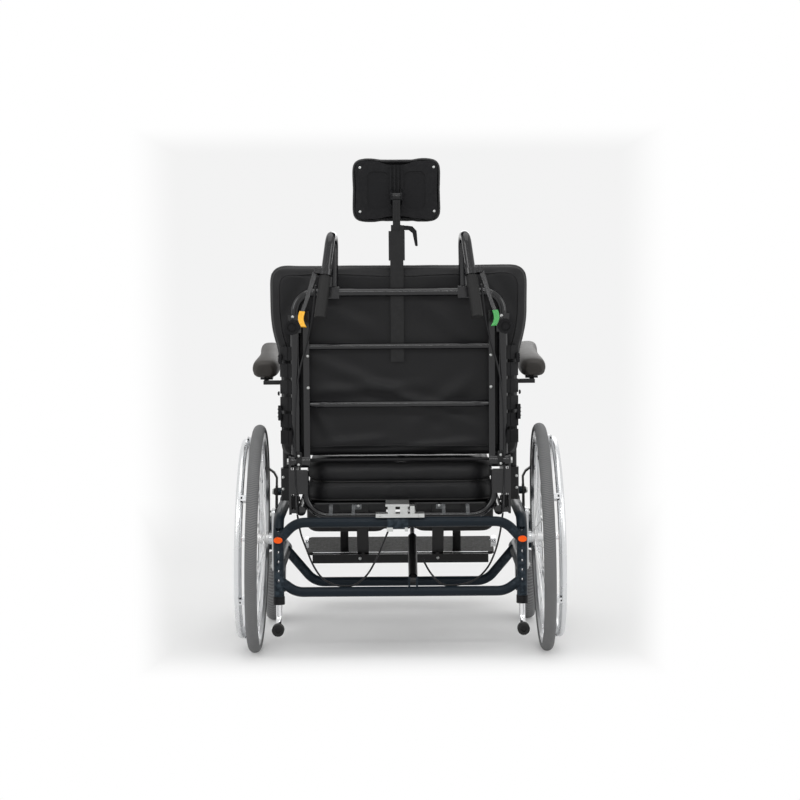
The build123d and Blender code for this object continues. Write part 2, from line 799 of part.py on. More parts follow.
# ---- seat: rails, cross tubes, rear hoop, recline brackets and pan
cheek_inner = cheek_x - cheek_thickness / 2
web_rear = hoop_y - hoop_tube / 2 - 5
with BuildPart() as seat_frame:
    bent_tube(
        [
            (-rail_x, web_rear + 2, seat_rail_height),
            (-rail_x, seat_front_y, seat_rail_height),
            (rail_x, seat_front_y, seat_rail_height),
            (rail_x, web_rear + 2, seat_rail_height),
        ],
        [seat_rail_bend, seat_rail_bend],
        seat_rail,
    )
    for side, _ in sides:
        # the recline bracket: an outer cheek with the pin, and a web to the hoop
        plate_across(
            side * cheek_x,
            cheek_thickness,
            (
                (web_rear, seat_rail_height - 10),
                (axle_y - 2, seat_rail_height - 10),
                (axle_y - 2, seat_rail_height + 30),
                (post_y + recline_barrel / 2, recline_height - 20),
                (post_y + recline_barrel / 2, recline_height + recline_barrel / 2),
                (post_y - recline_barrel / 2, recline_height + recline_barrel / 2),
                (web_rear, recline_height - 30),
            ),
            6,
        )
        rod(
            (side * (cheek_inner + 1), post_y, recline_height),
            (side * (side_bar_x - side_bar_width / 2), post_y, recline_height),
            recline_pin,
        )
        low_x, high_x = sorted((side * (hoop_x - 4), side * (cheek_inner + 1)))
        block(
            (low_x, web_rear, seat_rail_height + 45),
            (high_x, web_rear + 8, recline_height - recline_barrel / 2 - 4),
        )
        low_x, high_x = sorted((side * rail_x, side * (cheek_inner + 1)))
        block((low_x, web_rear + 4, seat_rail_height - 6), (high_x, axle_y - 6, seat_rail_height + 4))
    rod((-rail_x, tilt_head_y, seat_rail_height), (rail_x, tilt_head_y, seat_rail_height), seat_cross)
    hoop_top = recline_height - recline_barrel / 2 - 6
    bent_tube(
        [
            (-hoop_x, hoop_y, hoop_top),
            (-hoop_x, hoop_y, hoop_low),
            (hoop_x, hoop_y, hoop_low),
            (hoop_x, hoop_y, hoop_top),
        ],
        [hoop_bend, hoop_bend],
        hoop_tube,
    )
    # lugs and pin under the second cross tube for the head of the tilt spring
    for lug_side in (-1, 1):
        plate_across(
            tilt_spring_x + lug_side * (lug_inner + 2.5),
            5,
            (
                (tilt_head_y - 11, seat_rail_height - 4),
                (tilt_head_y - 9, tilt_head_height - 9),
                (tilt_head_y + 9, tilt_head_height - 9),
                (tilt_head_y + 11, seat_rail_height - 4),
            ),
            3,
        )
    rod(
        (tilt_spring_x - lug_inner - 5, tilt_head_y, tilt_head_height),
        (tilt_spring_x + lug_inner + 5, tilt_head_y, tilt_head_height),
        spring_pin,
    )
    # lug and pin on the left rail for the foot of the recline spring
    lug_x = -(recline_spring_x - spring_eye_width / 4 - 3.5)
    plate_across(
        lug_x,
        5,
        (
            (recline_foot_y - 16, seat_rail_height + 4),
            (recline_foot_y + 16, seat_rail_height + 4),
            (recline_foot_y + 9, recline_foot_height + 9),
            (recline_foot_y - 9, recline_foot_height + 9),
        ),
        3,
    )
    rod(
        (lug_x, recline_foot_y, recline_foot_height),
        (-(recline_spring_x + spring_eye_width / 4 + 2), recline_foot_y, recline_foot_height),
        spring_pin,
    )
    # two arms carry the rod that the legrest hangs on
    arm_x_in = leg_tube_spacing / 2 + leg_tube / 2 + 1
    for side, _ in sides:
        plate_across(
            side * (arm_x_in + 4),
            8,
            (
                (seat_front_y - 8, seat_rail_height - 11),
                (knee_y + 12, seat_rail_height - 12),
                (knee_y + 12, seat_rail_height + 11),
                (seat_front_y - 8, seat_rail_height + 11),
            ),
            5,
        )
    rod((-arm_x_in - 8, knee_y, seat_rail_height), (arm_x_in + 8, knee_y, seat_rail_height), knee_rod)
    # the pan is screwed on the rails
    pan_rear = axle_y - cushion_setback + 8
    with BuildSketch(Plane.XY.offset(seat_top - seat_pan)):
        with Locations((0, (pan_rear + seat_front_y + 10) / 2)):
            RectangleRounded(2 * (frame_x - seat_pan_inset), seat_front_y + 10 - pan_rear, 30)
            with GridLocations((frame_x - seat_pan_inset) / 2, 0, 4, 1):
                SlotOverall(seat_front_y - pan_rear - 90, 40, rotation=90, mode=Mode.SUBTRACT)
    extrude(amount=seat_pan)
save(seat_frame, "seat_frame")

# zinc bearing block that turns on the rear cross tube and is bolted to the hoop
bearing_outer = cross_tube + 2 * bearing_wall
with BuildPart() as tilt_bearing:
    low_x, high_x = bearing_x - bearing_width / 2, bearing_x + bearing_width / 2
    rod((low_x, upright_y, cross_height), (high_x, upright_y, cross_height), bearing_outer)
    plate_low = cross_height + cross_tube / 2 + 1
    half_plate = bearing_plate_width / 2
    block((-half_plate, upright_y - 22, plate_low), (half_plate, upright_y + 22, plate_low + 10))
    for block_x in (low_x + 1, high_x - 21, high_x + 5):
        block(
            (block_x, upright_y - 20, plate_low + 9),
            (block_x + (20 if block_x < high_x else 12), upright_y + 20, plate_low + 30),
        )
    block(
        (low_x - 5, upright_y - 22, plate_low + 29),
        (high_x + 3, hoop_y + 8, plate_low + 35),
    )
    # two cheeks come down on the hoop
    for cheek_side in (low_x, high_x - 6):
        block(
            (cheek_side, hoop_y - 6, hoop_low + hoop_tube / 2 - 4),
            (cheek_side + 6, hoop_y + 8, plate_low + 30),
        )
    rod(
        (-half_plate, hoop_y, hoop_low),
        (half_plate, hoop_y, hoop_low),
        hoop_tube + 2 * seating,
        Mode.SUBTRACT,
    )
    rod(
        (low_x - 1, upright_y, cross_height),
        (high_x + 1, upright_y, cross_height),
        cross_tube + 2 * running,
        Mode.SUBTRACT,
    )
    for hole_side in (-1, 1):
        rod(
            (hole_side * (half_plate - 9), upright_y - 14, plate_low - 1),
            (hole_side * (half_plate - 9), upright_y - 14, plate_low + 11),
            8,
            Mode.SUBTRACT,
        )
save(tilt_bearing, "tilt_bearing")

# the cushion: a firm lower layer and a crowned upper one, with a drawn-in seam between them
cushion_mid = axle_y - cushion_setback + cushion_depth / 2
layer = cushion_thickness * 0.42
cushion_width = 2 * (frame_x - cushion_inset)
with BuildPart() as seat_cushion:
    base_plane = Plane(origin=(0, cushion_mid, seat_top + seating))
    pillow(base_plane, cushion_width - 8, cushion_depth - 8, layer + 1, cushion_corner, 7, 4, 5)
    pillow(
        base_plane.offset(layer),
        cushion_width,
        cushion_depth,
        cushion_thickness - layer,
        cushion_corner,
        22,
        5,
    )
save(seat_cushion, "seat_cushion")

# side guards between cushion and armrests, stood off the rails
with BuildPart() as side_guards:
    guard_y = axle_y + guard_reach
    for side, _ in sides:
        plate_across(
            side * guard_x,
            guard_thickness,
            (
                (guard_y, seat_rail_height),
                (guard_y + guard_length, seat_rail_height),
                (guard_y + guard_length, seat_rail_height + 70),
                (guard_y + guard_length - 70, guard_high),
                (guard_y, guard_high),
            ),
            22,
        )
        low_x, high_x = sorted((side * (rail_x + seat_rail / 2 + seating), side * guard_x))
        for foot_share in (0.2, 0.8):
            foot_mid = guard_y + foot_share * guard_length
            block(
                (low_x, foot_mid - 12, seat_rail_height),
                (high_x, foot_mid + 12, seat_rail_height + 12),
            )
save(side_guards, "side_guards")

# clamp blocks on the rails that the armrest posts slide in
with BuildPart() as armrest_sockets:
    for side, _ in sides:
        socket_x = side * arm_x
        block(
            (socket_x - 16, arm_y - 17, arm_socket_low),
            (socket_x + 16, arm_y + 17, arm_socket_high),
        )
    fillet(armrest_sockets.edges().filter_by(Axis.Z), 5)
    for side, _ in sides:
        socket_x = side * arm_x
        low_x, high_x = sorted((side * (rail_x + seat_rail / 2 + seating), side * (arm_x - 10)))
        block((low_x, arm_y - 14, seat_rail_height - 8), (high_x, arm_y + 14, arm_socket_low + 12))
        rod(
            (socket_x, arm_y, seat_rail_height - 9),
            (socket_x, arm_y, arm_socket_high),
            arm_tube + 2 * running,
            Mode.SUBTRACT,
        )
        # the slit that the clamp bolt closes
        slit = (socket_x + side * 6, socket_x + side * 20)
        block(
            (min(slit), arm_y - 1.5, arm_socket_low - 1),
            (max(slit), arm_y + 1.5, arm_socket_high + 1),
            Mode.SUBTRACT,
        )
save(armrest_sockets, "armrest_sockets")


# ---- armrests: a post that slides in its socket, an arm out to the pad and a bearer under it
def arm_pad_section(side, share):
    # the pad's section at a share of its length: it narrows and climbs towards the front
    ends = 1 - (1 - sqrt(max(0, 1 - abs(2 * share - 1) ** 8))) * 0.5
    width = (arm_pad_width - 16 * share) * ends
    height = arm_pad_thickness * (1 - 0.3 * share) * ends
    middle = arm_pad_x - 8 * sin(share * pi)
    rise = tan(radians(arm_pad_slope)) * share * arm_pad_length
    base = arm_pad_low + rise + (arm_pad_thickness * (1 - 0.3 * share) - height) / 2
    plane = Plane(
        origin=(side * middle, axle_y + arm_pad_rear + share * arm_pad_length, base + height / 2),
        x_dir=(1, 0, 0),
        z_dir=(0, 1, 0),
    )
    with BuildSketch(plane) as section:
        RectangleRounded(width, height, height * 0.34)
    return section.sketch


for side, hand in sides:
    with BuildPart() as arm_pad:
        shares = (0, 0.03, 0.1, 0.35, 0.65, 0.9, 0.97, 1)
        loft([arm_pad_section(side, share) for share in shares], ruled=True)
    save(arm_pad, f"armrest_pad_{hand}")

    stand_x = side * arm_x
    bearer_low = arm_pad_low - 7
    slope = tan(radians(arm_pad_slope))
    bearer_rear = axle_y + arm_pad_rear + 30
    bearer_front = axle_y + arm_pad_rear + arm_pad_length - 50
    rise_rear = slope * 30
    rise_front = slope * (arm_pad_length - 50)
    with BuildPart() as arm_post:
        rod((stand_x, arm_y, seat_rail_height + 20), (stand_x, arm_y, bearer_low - 6), arm_tube)
        low_x, high_x = sorted((side * (arm_x - arm_tube / 2), side * (arm_pad_x + 4)))
        block((low_x, arm_y - 11, bearer_low - 16), (high_x, arm_y + 11, bearer_low))
        plate_across(
            side * arm_pad_x - side * 4,
            34,
            (
                (bearer_rear, arm_pad_low + rise_rear - 6),
                (bearer_front, arm_pad_low + rise_front - 6),
                (bearer_front, arm_pad_low + rise_front - seating),
                (bearer_rear, arm_pad_low + rise_rear - seating),
            ),
            1,
        )
        plate_across(
            side * arm_pad_x - side * 4,
            12,
            (
                (arm_y - 10, bearer_low - 8),
                (arm_y + 10, bearer_low - 8),
                (bearer_front - 20, arm_pad_low + rise_front - 7),
                (bearer_front - 20, arm_pad_low + rise_front - 4),
                (arm_y - 10, arm_pad_low + rise_rear - 4),
            ),
            1,
        )
    save(arm_post, f"armrest_post_{hand}")


# ---- backrest frame: two posts with flat side bars, hinge barrels and cross tubes
back_tube_y = post_y + back_tube_forward
arm_plate_x = recline_spring_x - spring_eye_width / 4 - 3.5
with BuildPart() as back_frame:
    for side, _ in sides:
        bar_x = side * side_bar_x
        rod((side * post_x, post_y, recline_height), (side * post_x, post_y, post_high), post_tube)
        block(
            (bar_x - side_bar_width / 2, post_y - 10, recline_height),
            (bar_x + side_bar_width / 2, post_y + 10, side_bar_high),
        )
        rod(
            (bar_x - side * side_bar_width / 2, post_y, recline_height),
            (side * (cheek_inner - seating), post_y, recline_height),
            recline_barrel,
        )
        # a split clamp at the post's mouth, for the hand wheel
        block(
            (side * post_x - post_tube / 2 - 4, post_y - clamp_back, clamp_low),
            (side * post_x + post_tube / 2 + 4, post_y + post_tube / 2 + 1, post_high),
        )
    bar_end = side_bar_x
    rod((-bar_end, back_tube_y, back_tube_high), (bar_end, back_tube_y, back_tube_high), back_tube)
    bow_y = back_tube_y - back_tube_bow
    bent_tube(
        [
            (-bar_end, back_tube_y, back_tube_low),
            (40 - bar_end, bow_y, back_tube_low),
            (bar_end - 40, bow_y, back_tube_low),
            (bar_end, back_tube_y, back_tube_low),
        ],
        [60, 60],
        back_tube,
    )
    # arm and pin below the left barrel for the recline spring
    arm_low = recline_height - recline_arm
    plate_across(
        -arm_plate_x,
        5,
        (
            (post_y - 11, recline_height),
            (post_y - 8, arm_low - 8),
            (post_y + 8, arm_low - 8),
            (post_y + 11, recline_height),
        ),
        4,
    )
    pin_end = -(recline_spring_x + spring_eye_width / 4 + 2)
    rod((-arm_plate_x, post_y, arm_low), (pin_end, post_y, arm_low), spring_pin)
    for side, _ in sides:
        rod(
            (side * (side_bar_x - side_bar_width), post_y, recline_height),
            (side * (cheek_inner + 5), post_y, recline_height),
            recline_pin + 2 * running,
            Mode.SUBTRACT,
        )
        rod(
            (side * post_x, post_y, push_low - 20),
            (side * post_x, post_y, post_high + 1),
            push_tube + 2 * running,
            Mode.SUBTRACT,
        )
        rod(
            (side * knob_x, post_y - clamp_back - 1, knob_height),
            (side * knob_x, post_y - clamp_back + 12, knob_height),
            8 + 2 * running,
            Mode.SUBTRACT,
        )
save(back_frame, "back_frame")

# webbing straps from the posts out to the cushion's rear edge
cushion_rear = post_y + back_gap
strap_low = recline_height + 44
strap_pitch = (clamp_low - 30 - strap_low) / strap_count
strap_y = cushion_rear - seating
with BuildPart() as back_straps:
    for side, _ in sides:
        inner_x = side * (post_x + post_tube / 2 - 3)
        outer_x = side * (post_x + back_low_overhang - 10)
        for number in range(strap_count):
            with BuildSketch(Plane.XY.offset(strap_low + number * strap_pitch)):
                with BuildLine():
                    Polyline(
                        (inner_x, post_y - 7),
                        (outer_x, strap_y - strap_thickness),
                        (outer_x, strap_y),
                        (outer_x - side * 4, strap_y),
                        (inner_x, post_y - 7 + strap_thickness * 1.6),
                        close=True,
                    )
                make_face()
            extrude(amount=strap_height)
        rod(
            (side * post_x, post_y, recline_height),
            (side * post_x, post_y, post_high),
            post_tube + 2 * seating,
            Mode.SUBTRACT,
        )
save(back_straps, "back_straps")


def back_section(share, inset):
    # the back cushion's outline: straight below, wider above the armrests, rounded on top
    low = post_x + back_low_overhang - inset
    high = post_x + back_high_overhang - inset
    plane = Plane(
        origin=(0, cushion_rear + share * back_thickness, back_low), x_dir=(-1, 0, 0), z_dir=(0, 1, 0)
    )
    tall = back_high - back_low
    with BuildSketch(plane) as section:
        with BuildLine():
            Polyline(
                (low, back_wing),
                (low, inset),
                (-low, inset),
                (-low, back_wing),
                (-high, back_wing + 90),
                (-high, tall - inset),
                (high, tall - inset),
                (high, back_wing + 90),
                close=True,
            )
        make_face()
        corners = section.vertices().group_by(Axis.Y)
        fillet(corners[0], 36)
        fillet(section.vertices().group_by(Axis.Y)[-1], 46)
    return section.sketch


with BuildPart() as back_cushion:
    loft(
        [
            back_section(share, inset)
            for share, inset in ((0, 14), (0.12, 4), (0.3, 0), (0.6, 0), (0.8, 5), (0.93, 13), (1, 26))
        ],
        ruled=True,
    )
save(back_cushion, "back_cushion")

# ---- headrest: a plate on the upper cross tube, a slotted block, a stem, and a shell with its pad
plate_rear = back_tube_y + back_tube / 2 + seating
stem_rear = plate_rear + mount_plate + stem_gap
stem_y = stem_rear + stem_depth / 2
clamp_pin_x = head_x + stem_width / 2 + 10
clamp_pin_z = mount_block_high + 8
lever_rear = stem_y - 8
with BuildPart() as headrest_mount:
    block(
        (head_x - mount_block_width / 2, plate_rear, mount_block_low),
        (head_x + mount_block_width / 2, plate_rear + mount_block_depth, mount_block_high),
    )
    fillet(headrest_mount.edges().filter_by(Axis.Z), 4)
    block(
        (head_x - mount_plate_width / 2, plate_rear, mount_plate_low),
        (head_x + mount_plate_width / 2, plate_rear + mount_plate, mount_block_low + 1),
    )
    block(
        (head_x - stem_width / 2 - 5, stem_rear - 4, mount_block_high - 1),
        (head_x + stem_width / 2 + 3, stem_rear + stem_depth + 4, mount_block_high + 16),
    )
    block(
        (head_x - stem_width / 2 - running, stem_rear - running, mount_block_low - 1),
        (head_x + stem_width / 2 + running, stem_rear + stem_depth + running, mount_block_high + 17),
        Mode.SUBTRACT,
    )
    block(
        (clamp_pin_x - 12, lever_rear - 6, mount_block_high - 2),
        (head_x + mount_block_width / 2 - 1, lever_rear - seating, clamp_pin_z + 7),
    )
    rod((clamp_pin_x, lever_rear - 1, clamp_pin_z), (clamp_pin_x, lever_rear + 14, clamp_pin_z), clamp_pin)
save(headrest_mount, "headrest_mount")

with BuildPart() as headrest_lever:
    lever_plane = Plane(
        origin=(clamp_pin_x, lever_rear, clamp_pin_z), x_dir=(1, 0, 0), z_dir=(0, -1, 0)
    )
    with BuildSketch(lever_plane):
        Circle(6)
        with BuildLine():
            Polyline(
                (0, -6),
                (12, -6),
                (22, -14),
                (29, -48),
                (36, -49),
                (33, -8),
                (22, 4),
                (8, 6),
                (0, 6),
                close=True,
            )
        make_face()
        Circle(clamp_pin / 2 + running, mode=Mode.SUBTRACT)
    extrude(amount=-12)
    fillet(headrest_lever.edges().filter_by(Axis.Y).sort_by(Axis.Z)[:2], 2.5)
save(headrest_lever, "headrest_lever")

with BuildPart() as headrest_stem:
    block(
        (head_x - stem_width / 2, stem_rear, mount_block_low + 2),
        (head_x + stem_width / 2, stem_rear + stem_depth, head_pivot_height),
    )
    rod(
        (head_x - stem_width / 2, stem_y, head_pivot_height),
        (head_x + stem_width / 2, stem_y, head_pivot_height),
        20,
    )
    for groove in (-1, 1):
        block(
            (head_x + groove * 4 - 1.3, stem_rear - 1, mount_block_high + 24),
            (head_x + groove * 4 + 1.3, stem_rear + 2, head_pivot_height - 16),
            Mode.SUBTRACT,
        )
    rod(
        (head_x - stem_width, stem_y, head_pivot_height),
        (head_x + stem_width, stem_y, head_pivot_height),
        head_pin + 2 * running,
        Mode.SUBTRACT,
    )
save(headrest_stem, "headrest_stem")


def bow_tie(plane, inset):
    # the headrest's outline on plane, lower in the middle than at its two lobes
    half_w = head_width / 2 - inset
    half_h = head_height / 2 - inset
    waist = half_w * 0.42
    with BuildSketch(plane) as section:
        with BuildLine():
            ThreePointArc((-half_w, -half_h), (4 - half_w, 0), (-half_w, half_h))
            Polyline((-half_w, half_h), (-waist, half_h - 3))
            ThreePointArc((-waist, half_h - 3), (0, half_h - 14), (waist, half_h - 3))
            Polyline((waist, half_h - 3), (half_w, half_h))
            ThreePointArc((half_w, half_h), (half_w - 4, 0), (half_w, -half_h))
            Polyline((half_w, -half_h), (waist, 3 - half_h))
            ThreePointArc((waist, 3 - half_h), (0, 10 - half_h), (-waist, 3 - half_h))
            Polyline((-waist, 3 - half_h), (-half_w, -half_h))
        make_face()
        fillet(section.vertices().group_by(Axis.X)[0], 24)
        fillet(section.vertices().group_by(Axis.X)[-1], 24)
    return section.sketch


head_plane = Plane(
    origin=(head_x, stem_y + shell_stand, head_low_edge + head_height / 2),
    x_dir=(-1, 0, 0),
    z_dir=(0, 1, 0),
)
shell_y = stem_y + shell_stand
with BuildPart() as headrest_shell:
    extrude(bow_tie(head_plane, 5), amount=head_shell)
    with BuildSketch(head_plane):
        with GridLocations(head_width * 0.42, 0, 2, 1):
            RectangleRounded(head_width * 0.24, head_height * 0.58, 14)
    extrude(amount=3, mode=Mode.SUBTRACT)
    # the ribbed bracket behind the shell, whose ears turn on the stem's pin
    for rib in range(4):
        rib_x = head_x + (rib - 1.5) * 10
        block(
            (rib_x - 2, shell_y - 6, head_low_edge + 32),
            (rib_x + 2, shell_y + 1, head_low_edge + head_height - 18),
        )
    for ear in (-1, 1):
        plate_across(
            head_x + ear * (stem_width / 2 + seating + 2.5),
            5,
            (
                (stem_y - 9, head_pivot_height - 9),
                (shell_y + 1, head_pivot_height - 22),
                (shell_y + 1, head_pivot_height + 22),
                (stem_y - 9, head_pivot_height + 9),
            ),
            4,
        )
    rod(
        (head_x - stem_width / 2 - 5, stem_y, head_pivot_height),
        (head_x + stem_width / 2 + 5, stem_y, head_pivot_height),
        head_pin,
    )
save(headrest_shell, "headrest_shell")

with BuildPart() as headrest_pad:
    front = head_plane.offset(head_shell + seating)
    loft(
        [
            bow_tie(front.offset(head_pad * share), inset)
            for share, inset in ((0, 4), (0.15, 0), (0.55, 0), (0.8, 4), (0.94, 11), (1, 20))
        ],
        ruled=True,
    )
save(headrest_pad, "headrest_pad")

# ---- push bar, its two cane handles with grips, the hand wheels and the release levers
with BuildPart() as push_bar:
    bent_tube(
        [
            (-post_x, post_y, push_low),
            (-post_x, post_y, push_height),
            (post_x, post_y, push_height),
            (post_x, post_y, push_low),
        ],
        [push_bend, push_bend],
        push_tube,
    )
save(push_bar, "push_bar")

handle_x = handle_spacing / 2
cane_y = post_y
cane_bend_y = cane_y - handle_back
cane_end_y = axle_y - recline_setback - handle_end_back


def cane_points(side):
    return [
        Vector(side * handle_x, cane_y, push_height + push_tube / 2 + 2),
        Vector(side * (handle_x - 2), cane_y, handle_top),
        Vector(side * (handle_x + 4), cane_bend_y, handle_top),
        Vector(side * (handle_x + handle_end_spread), cane_end_y, handle_end_height),
    ]


def grip_frame(side):
    # along the grip: down is towards its end, out is away from the chair's middle
    points = cane_points(side)
    down = (points[3] - points[2]).normalized()
    out = (Vector(side, 0, 0) - down * down.dot(Vector(side, 0, 0))).normalized()
    return points[3], down, out


with BuildPart() as push_handles:
    for side, _ in sides:
        low_x = side * handle_x - 16
        block(
            (low_x, post_y - push_tube / 2 - 6, push_height - push_tube / 2 - 6),
            (low_x + 32, post_y + push_tube / 2 + 1, push_height + push_tube / 2 + 6),
        )
    fillet(push_handles.edges().filter_by(Axis.X), 4)
    for side, _ in sides:
        bent_tube(cane_points(side), [handle_bend, handle_bend], handle_tube)
        end, down, out = grip_frame(side)
        pivot = end - down * lever_up
        with BuildSketch(Plane(origin=pivot - down * 8, x_dir=out, z_dir=down)) as collar:
            Circle(lever_collar / 2)
        extrude(collar.sketch, amount=16)
        across = out.cross(down)
        with BuildSketch(Plane(origin=pivot - across * 11, x_dir=out, z_dir=across)) as lug:
            with Locations((lever_stand / 2, 0)):
                Rectangle(lever_stand, 13)
            with Locations((lever_stand, 0)):
                Circle(6.5)
        extrude(lug.sketch, amount=22)
        slot = Plane(origin=pivot - across * (lever_thickness / 2 + running), x_dir=out, z_dir=across)
        with BuildSketch(slot) as gap:
            with Locations((lever_stand + 4, 0)):
                Rectangle(24, 40)
        extrude(gap.sketch, amount=lever_thickness + 2 * running, mode=Mode.SUBTRACT)
        with BuildSketch(Plane(origin=pivot - across * 11, x_dir=out, z_dir=across)) as pin:
            with Locations((lever_stand, 0)):
                Circle(lever_pin / 2)
        extrude(pin.sketch, amount=22)
    for side, _ in sides:
        rod(
            (side * (handle_x - 20), post_y, push_height),
            (side * (handle_x + 20), post_y, push_height),
            push_tube + 2 * running,
            Mode.SUBTRACT,
        )
save(push_handles, "push_handles")

with BuildPart() as handle_grips:
    for side, _ in sides:
        end, down, out = grip_frame(side)
        face = Plane(origin=end + down * 4, x_dir=out, z_dir=down)
        with BuildSketch(face) as grip:
            Circle(grip_diameter / 2)
        extrude(grip.sketch, amount=-grip_length)
    fillet(handle_grips.edges().filter_by(GeomType.CIRCLE), 2)
    for side, _ in sides:
        end, down, out = grip_frame(side)
        with BuildSketch(Plane(origin=end + down * seating, x_dir=out, z_dir=down)) as bore:
            Circle(handle_tube / 2 + running)
        extrude(bore.sketch, amount=-grip_length, mode=Mode.SUBTRACT)
save(handle_grips, "handle_grips")

for side, hand in sides:
    end, down, out = grip_frame(side)
    across = out.cross(down)
    pivot = end - down * lever_up
    blade = Plane(origin=pivot - across * lever_thickness / 2, x_dir=out, z_dir=across)
    # in this plane x goes out from the grip and y goes down along it
    with BuildPart() as release_lever:
        with BuildSketch(blade) as outline:
            with BuildLine():
                Polyline(
                    (lever_stand - 6, -4),
                    (lever_stand + 3, -7),
                    (lever_stand + 9, 4),
                    (lever_stand + 21, lever_reach * 0.7),
                    (lever_stand + 31, lever_reach),
                    (lever_stand + 20, lever_reach),
                    (lever_stand + 13, lever_reach * 0.75),
                    (lever_stand - 3, 10),
                    close=True,
                )
            make_face()
            with Locations((lever_stand, 0)):
                Circle(lever_pin / 2 + running, mode=Mode.SUBTRACT)
        extrude(outline.sketch, amount=lever_thickness)
    save(release_lever, f"release_lever_{hand}")

    with BuildPart() as height_knob:
        face_y = post_y - clamp_back - seating
        knob_plane = Plane(origin=(side * knob_x, face_y, knob_height), x_dir=(1, 0, 0), z_dir=(0, -1, 0))
        with BuildSketch(knob_plane) as disc:
            Circle(knob_diameter / 2)
            with PolarLocations(knob_diameter / 2 + 3, 10):
                Circle(4.5, mode=Mode.SUBTRACT)
        extrude(disc.sketch, amount=knob_length)
        with BuildSketch(knob_plane.offset(knob_length)) as dish:
            Circle(knob_diameter * 0.32)
            Circle(knob_diameter * 0.22, mode=Mode.SUBTRACT)
        extrude(dish.sketch, amount=-3, mode=Mode.SUBTRACT)
        rod((side * knob_x, face_y - 1, knob_height), (side * knob_x, face_y + 11, knob_height), 8)
    save(height_knob, f"height_knob_{hand}")

# ---- legrest: two tubes from the knee rod down to the footboard's hinge
knee = Vector(0, knee_y, seat_rail_height)
ankle = Vector(0, foot_y, foot_height)
shin = (ankle - knee).normalized()
shin_front = Vector(1, 0, 0).cross(shin)


def shin_plane(along, off):
    # a plane that lies on the legrest's tubes, facing the calf
    return Plane(origin=knee + shin * along + shin_front * off, x_dir=(1, 0, 0), z_dir=shin_front)


half_leg = leg_tube_spacing / 2
leg_length = (ankle - knee).length
with BuildPart() as legrest_frame:
    for side, _ in sides:
        leg_x = side * half_leg
        with BuildSketch(shin_plane(leg_length / 2, -leg_tube_depth / 2)) as leg:
            with Locations((leg_x, 0)):
                Rectangle(leg_tube, leg_length)
        extrude(leg.sketch, amount=leg_tube_depth)
        rod(
            (leg_x - leg_tube / 2, knee_y, seat_rail_height),
            (leg_x + leg_tube / 2, knee_y, seat_rail_height),
            leg_barrel,
        )
        plate_across(
            leg_x,
            10,
            (
                (foot_y - leg_band_back - 5, foot_height - leg_band_height / 2),
                (foot_y + 4, foot_height - 6),
                (foot_y + 4, foot_height + 6),
                (foot_y - leg_band_back - 5, foot_height + leg_band_height),
            ),
            2,
        )
    for along, tall in ((calf_drop - 45, 30), (calf_drop + 45, 30)):
        with BuildSketch(shin_plane(along, leg_tube_depth / 2 - 5)) as brace:
            RectangleRounded(2 * half_leg + 130, tall, 8)
        extrude(brace.sketch, amount=5)
    band_y = foot_y - leg_band_back
    block(
        (18 - foot_width / 2, band_y - 5, foot_height - leg_band_height / 2 - 8),
        (foot_width / 2 - 18, band_y, foot_height + leg_band_height / 2 - 8),
    )
    rod(
        (-half_leg - leg_tube - 30, foot_y, foot_height),
        (half_leg + leg_tube + 30, foot_y, foot_height),
        foot_pin,
    )
    for side, _ in sides:
        rod(
            (side * (half_leg - leg_tube), knee_y, seat_rail_height),
            (side * (half_leg + leg_tube), knee_y, seat_rail_height),
            knee_rod + 2 * running,
            Mode.SUBTRACT,
        )
save(legrest_frame, "legrest_frame")

with BuildPart() as calf_pads:
    for side, _ in sides:
        base = shin_plane(calf_drop, leg_tube_depth / 2 + seating)
        base.origin = base.origin + Vector(side * (calf_width + calf_gap) / 2, 0, 0)
        pillow(base, calf_width, calf_length, calf_thickness, 26, 12, 3)
save(calf_pads, "calf_pads")

tread = Plane(
    origin=(0, foot_y, foot_height),
    x_dir=(1, 0, 0),
    z_dir=(0, -sin(radians(foot_slope)), cos(radians(foot_slope))),
)
with BuildPart() as footboard:
    with BuildSketch(tread.offset(-foot_thickness / 2)) as board:
        with Locations((0, foot_setback + foot_depth / 2)):
            RectangleRounded(foot_width, foot_depth, 16)
    extrude(board.sketch, amount=foot_thickness)
    for side, _ in sides:
        ear_x = side * (half_leg + leg_tube / 2 + 14)
        rod((ear_x - 12, foot_y, foot_height), (ear_x + 12, foot_y, foot_height), foot_pin + 8)
        with BuildSketch(tread.offset(-foot_thickness / 2)) as strap:
            with Locations((ear_x, foot_setback / 2 + 5)):
                Rectangle(24, foot_setback + 10)
        extrude(strap.sketch, amount=foot_thickness)
    for side, _ in sides:
        ear_x = side * (half_leg + leg_tube / 2 + 14)
        rod(
            (ear_x - 20, foot_y, foot_height),
            (ear_x + 20, foot_y, foot_height),
            foot_pin + 2 * running,
            Mode.SUBTRACT,
        )
save(footboard, "footboard")

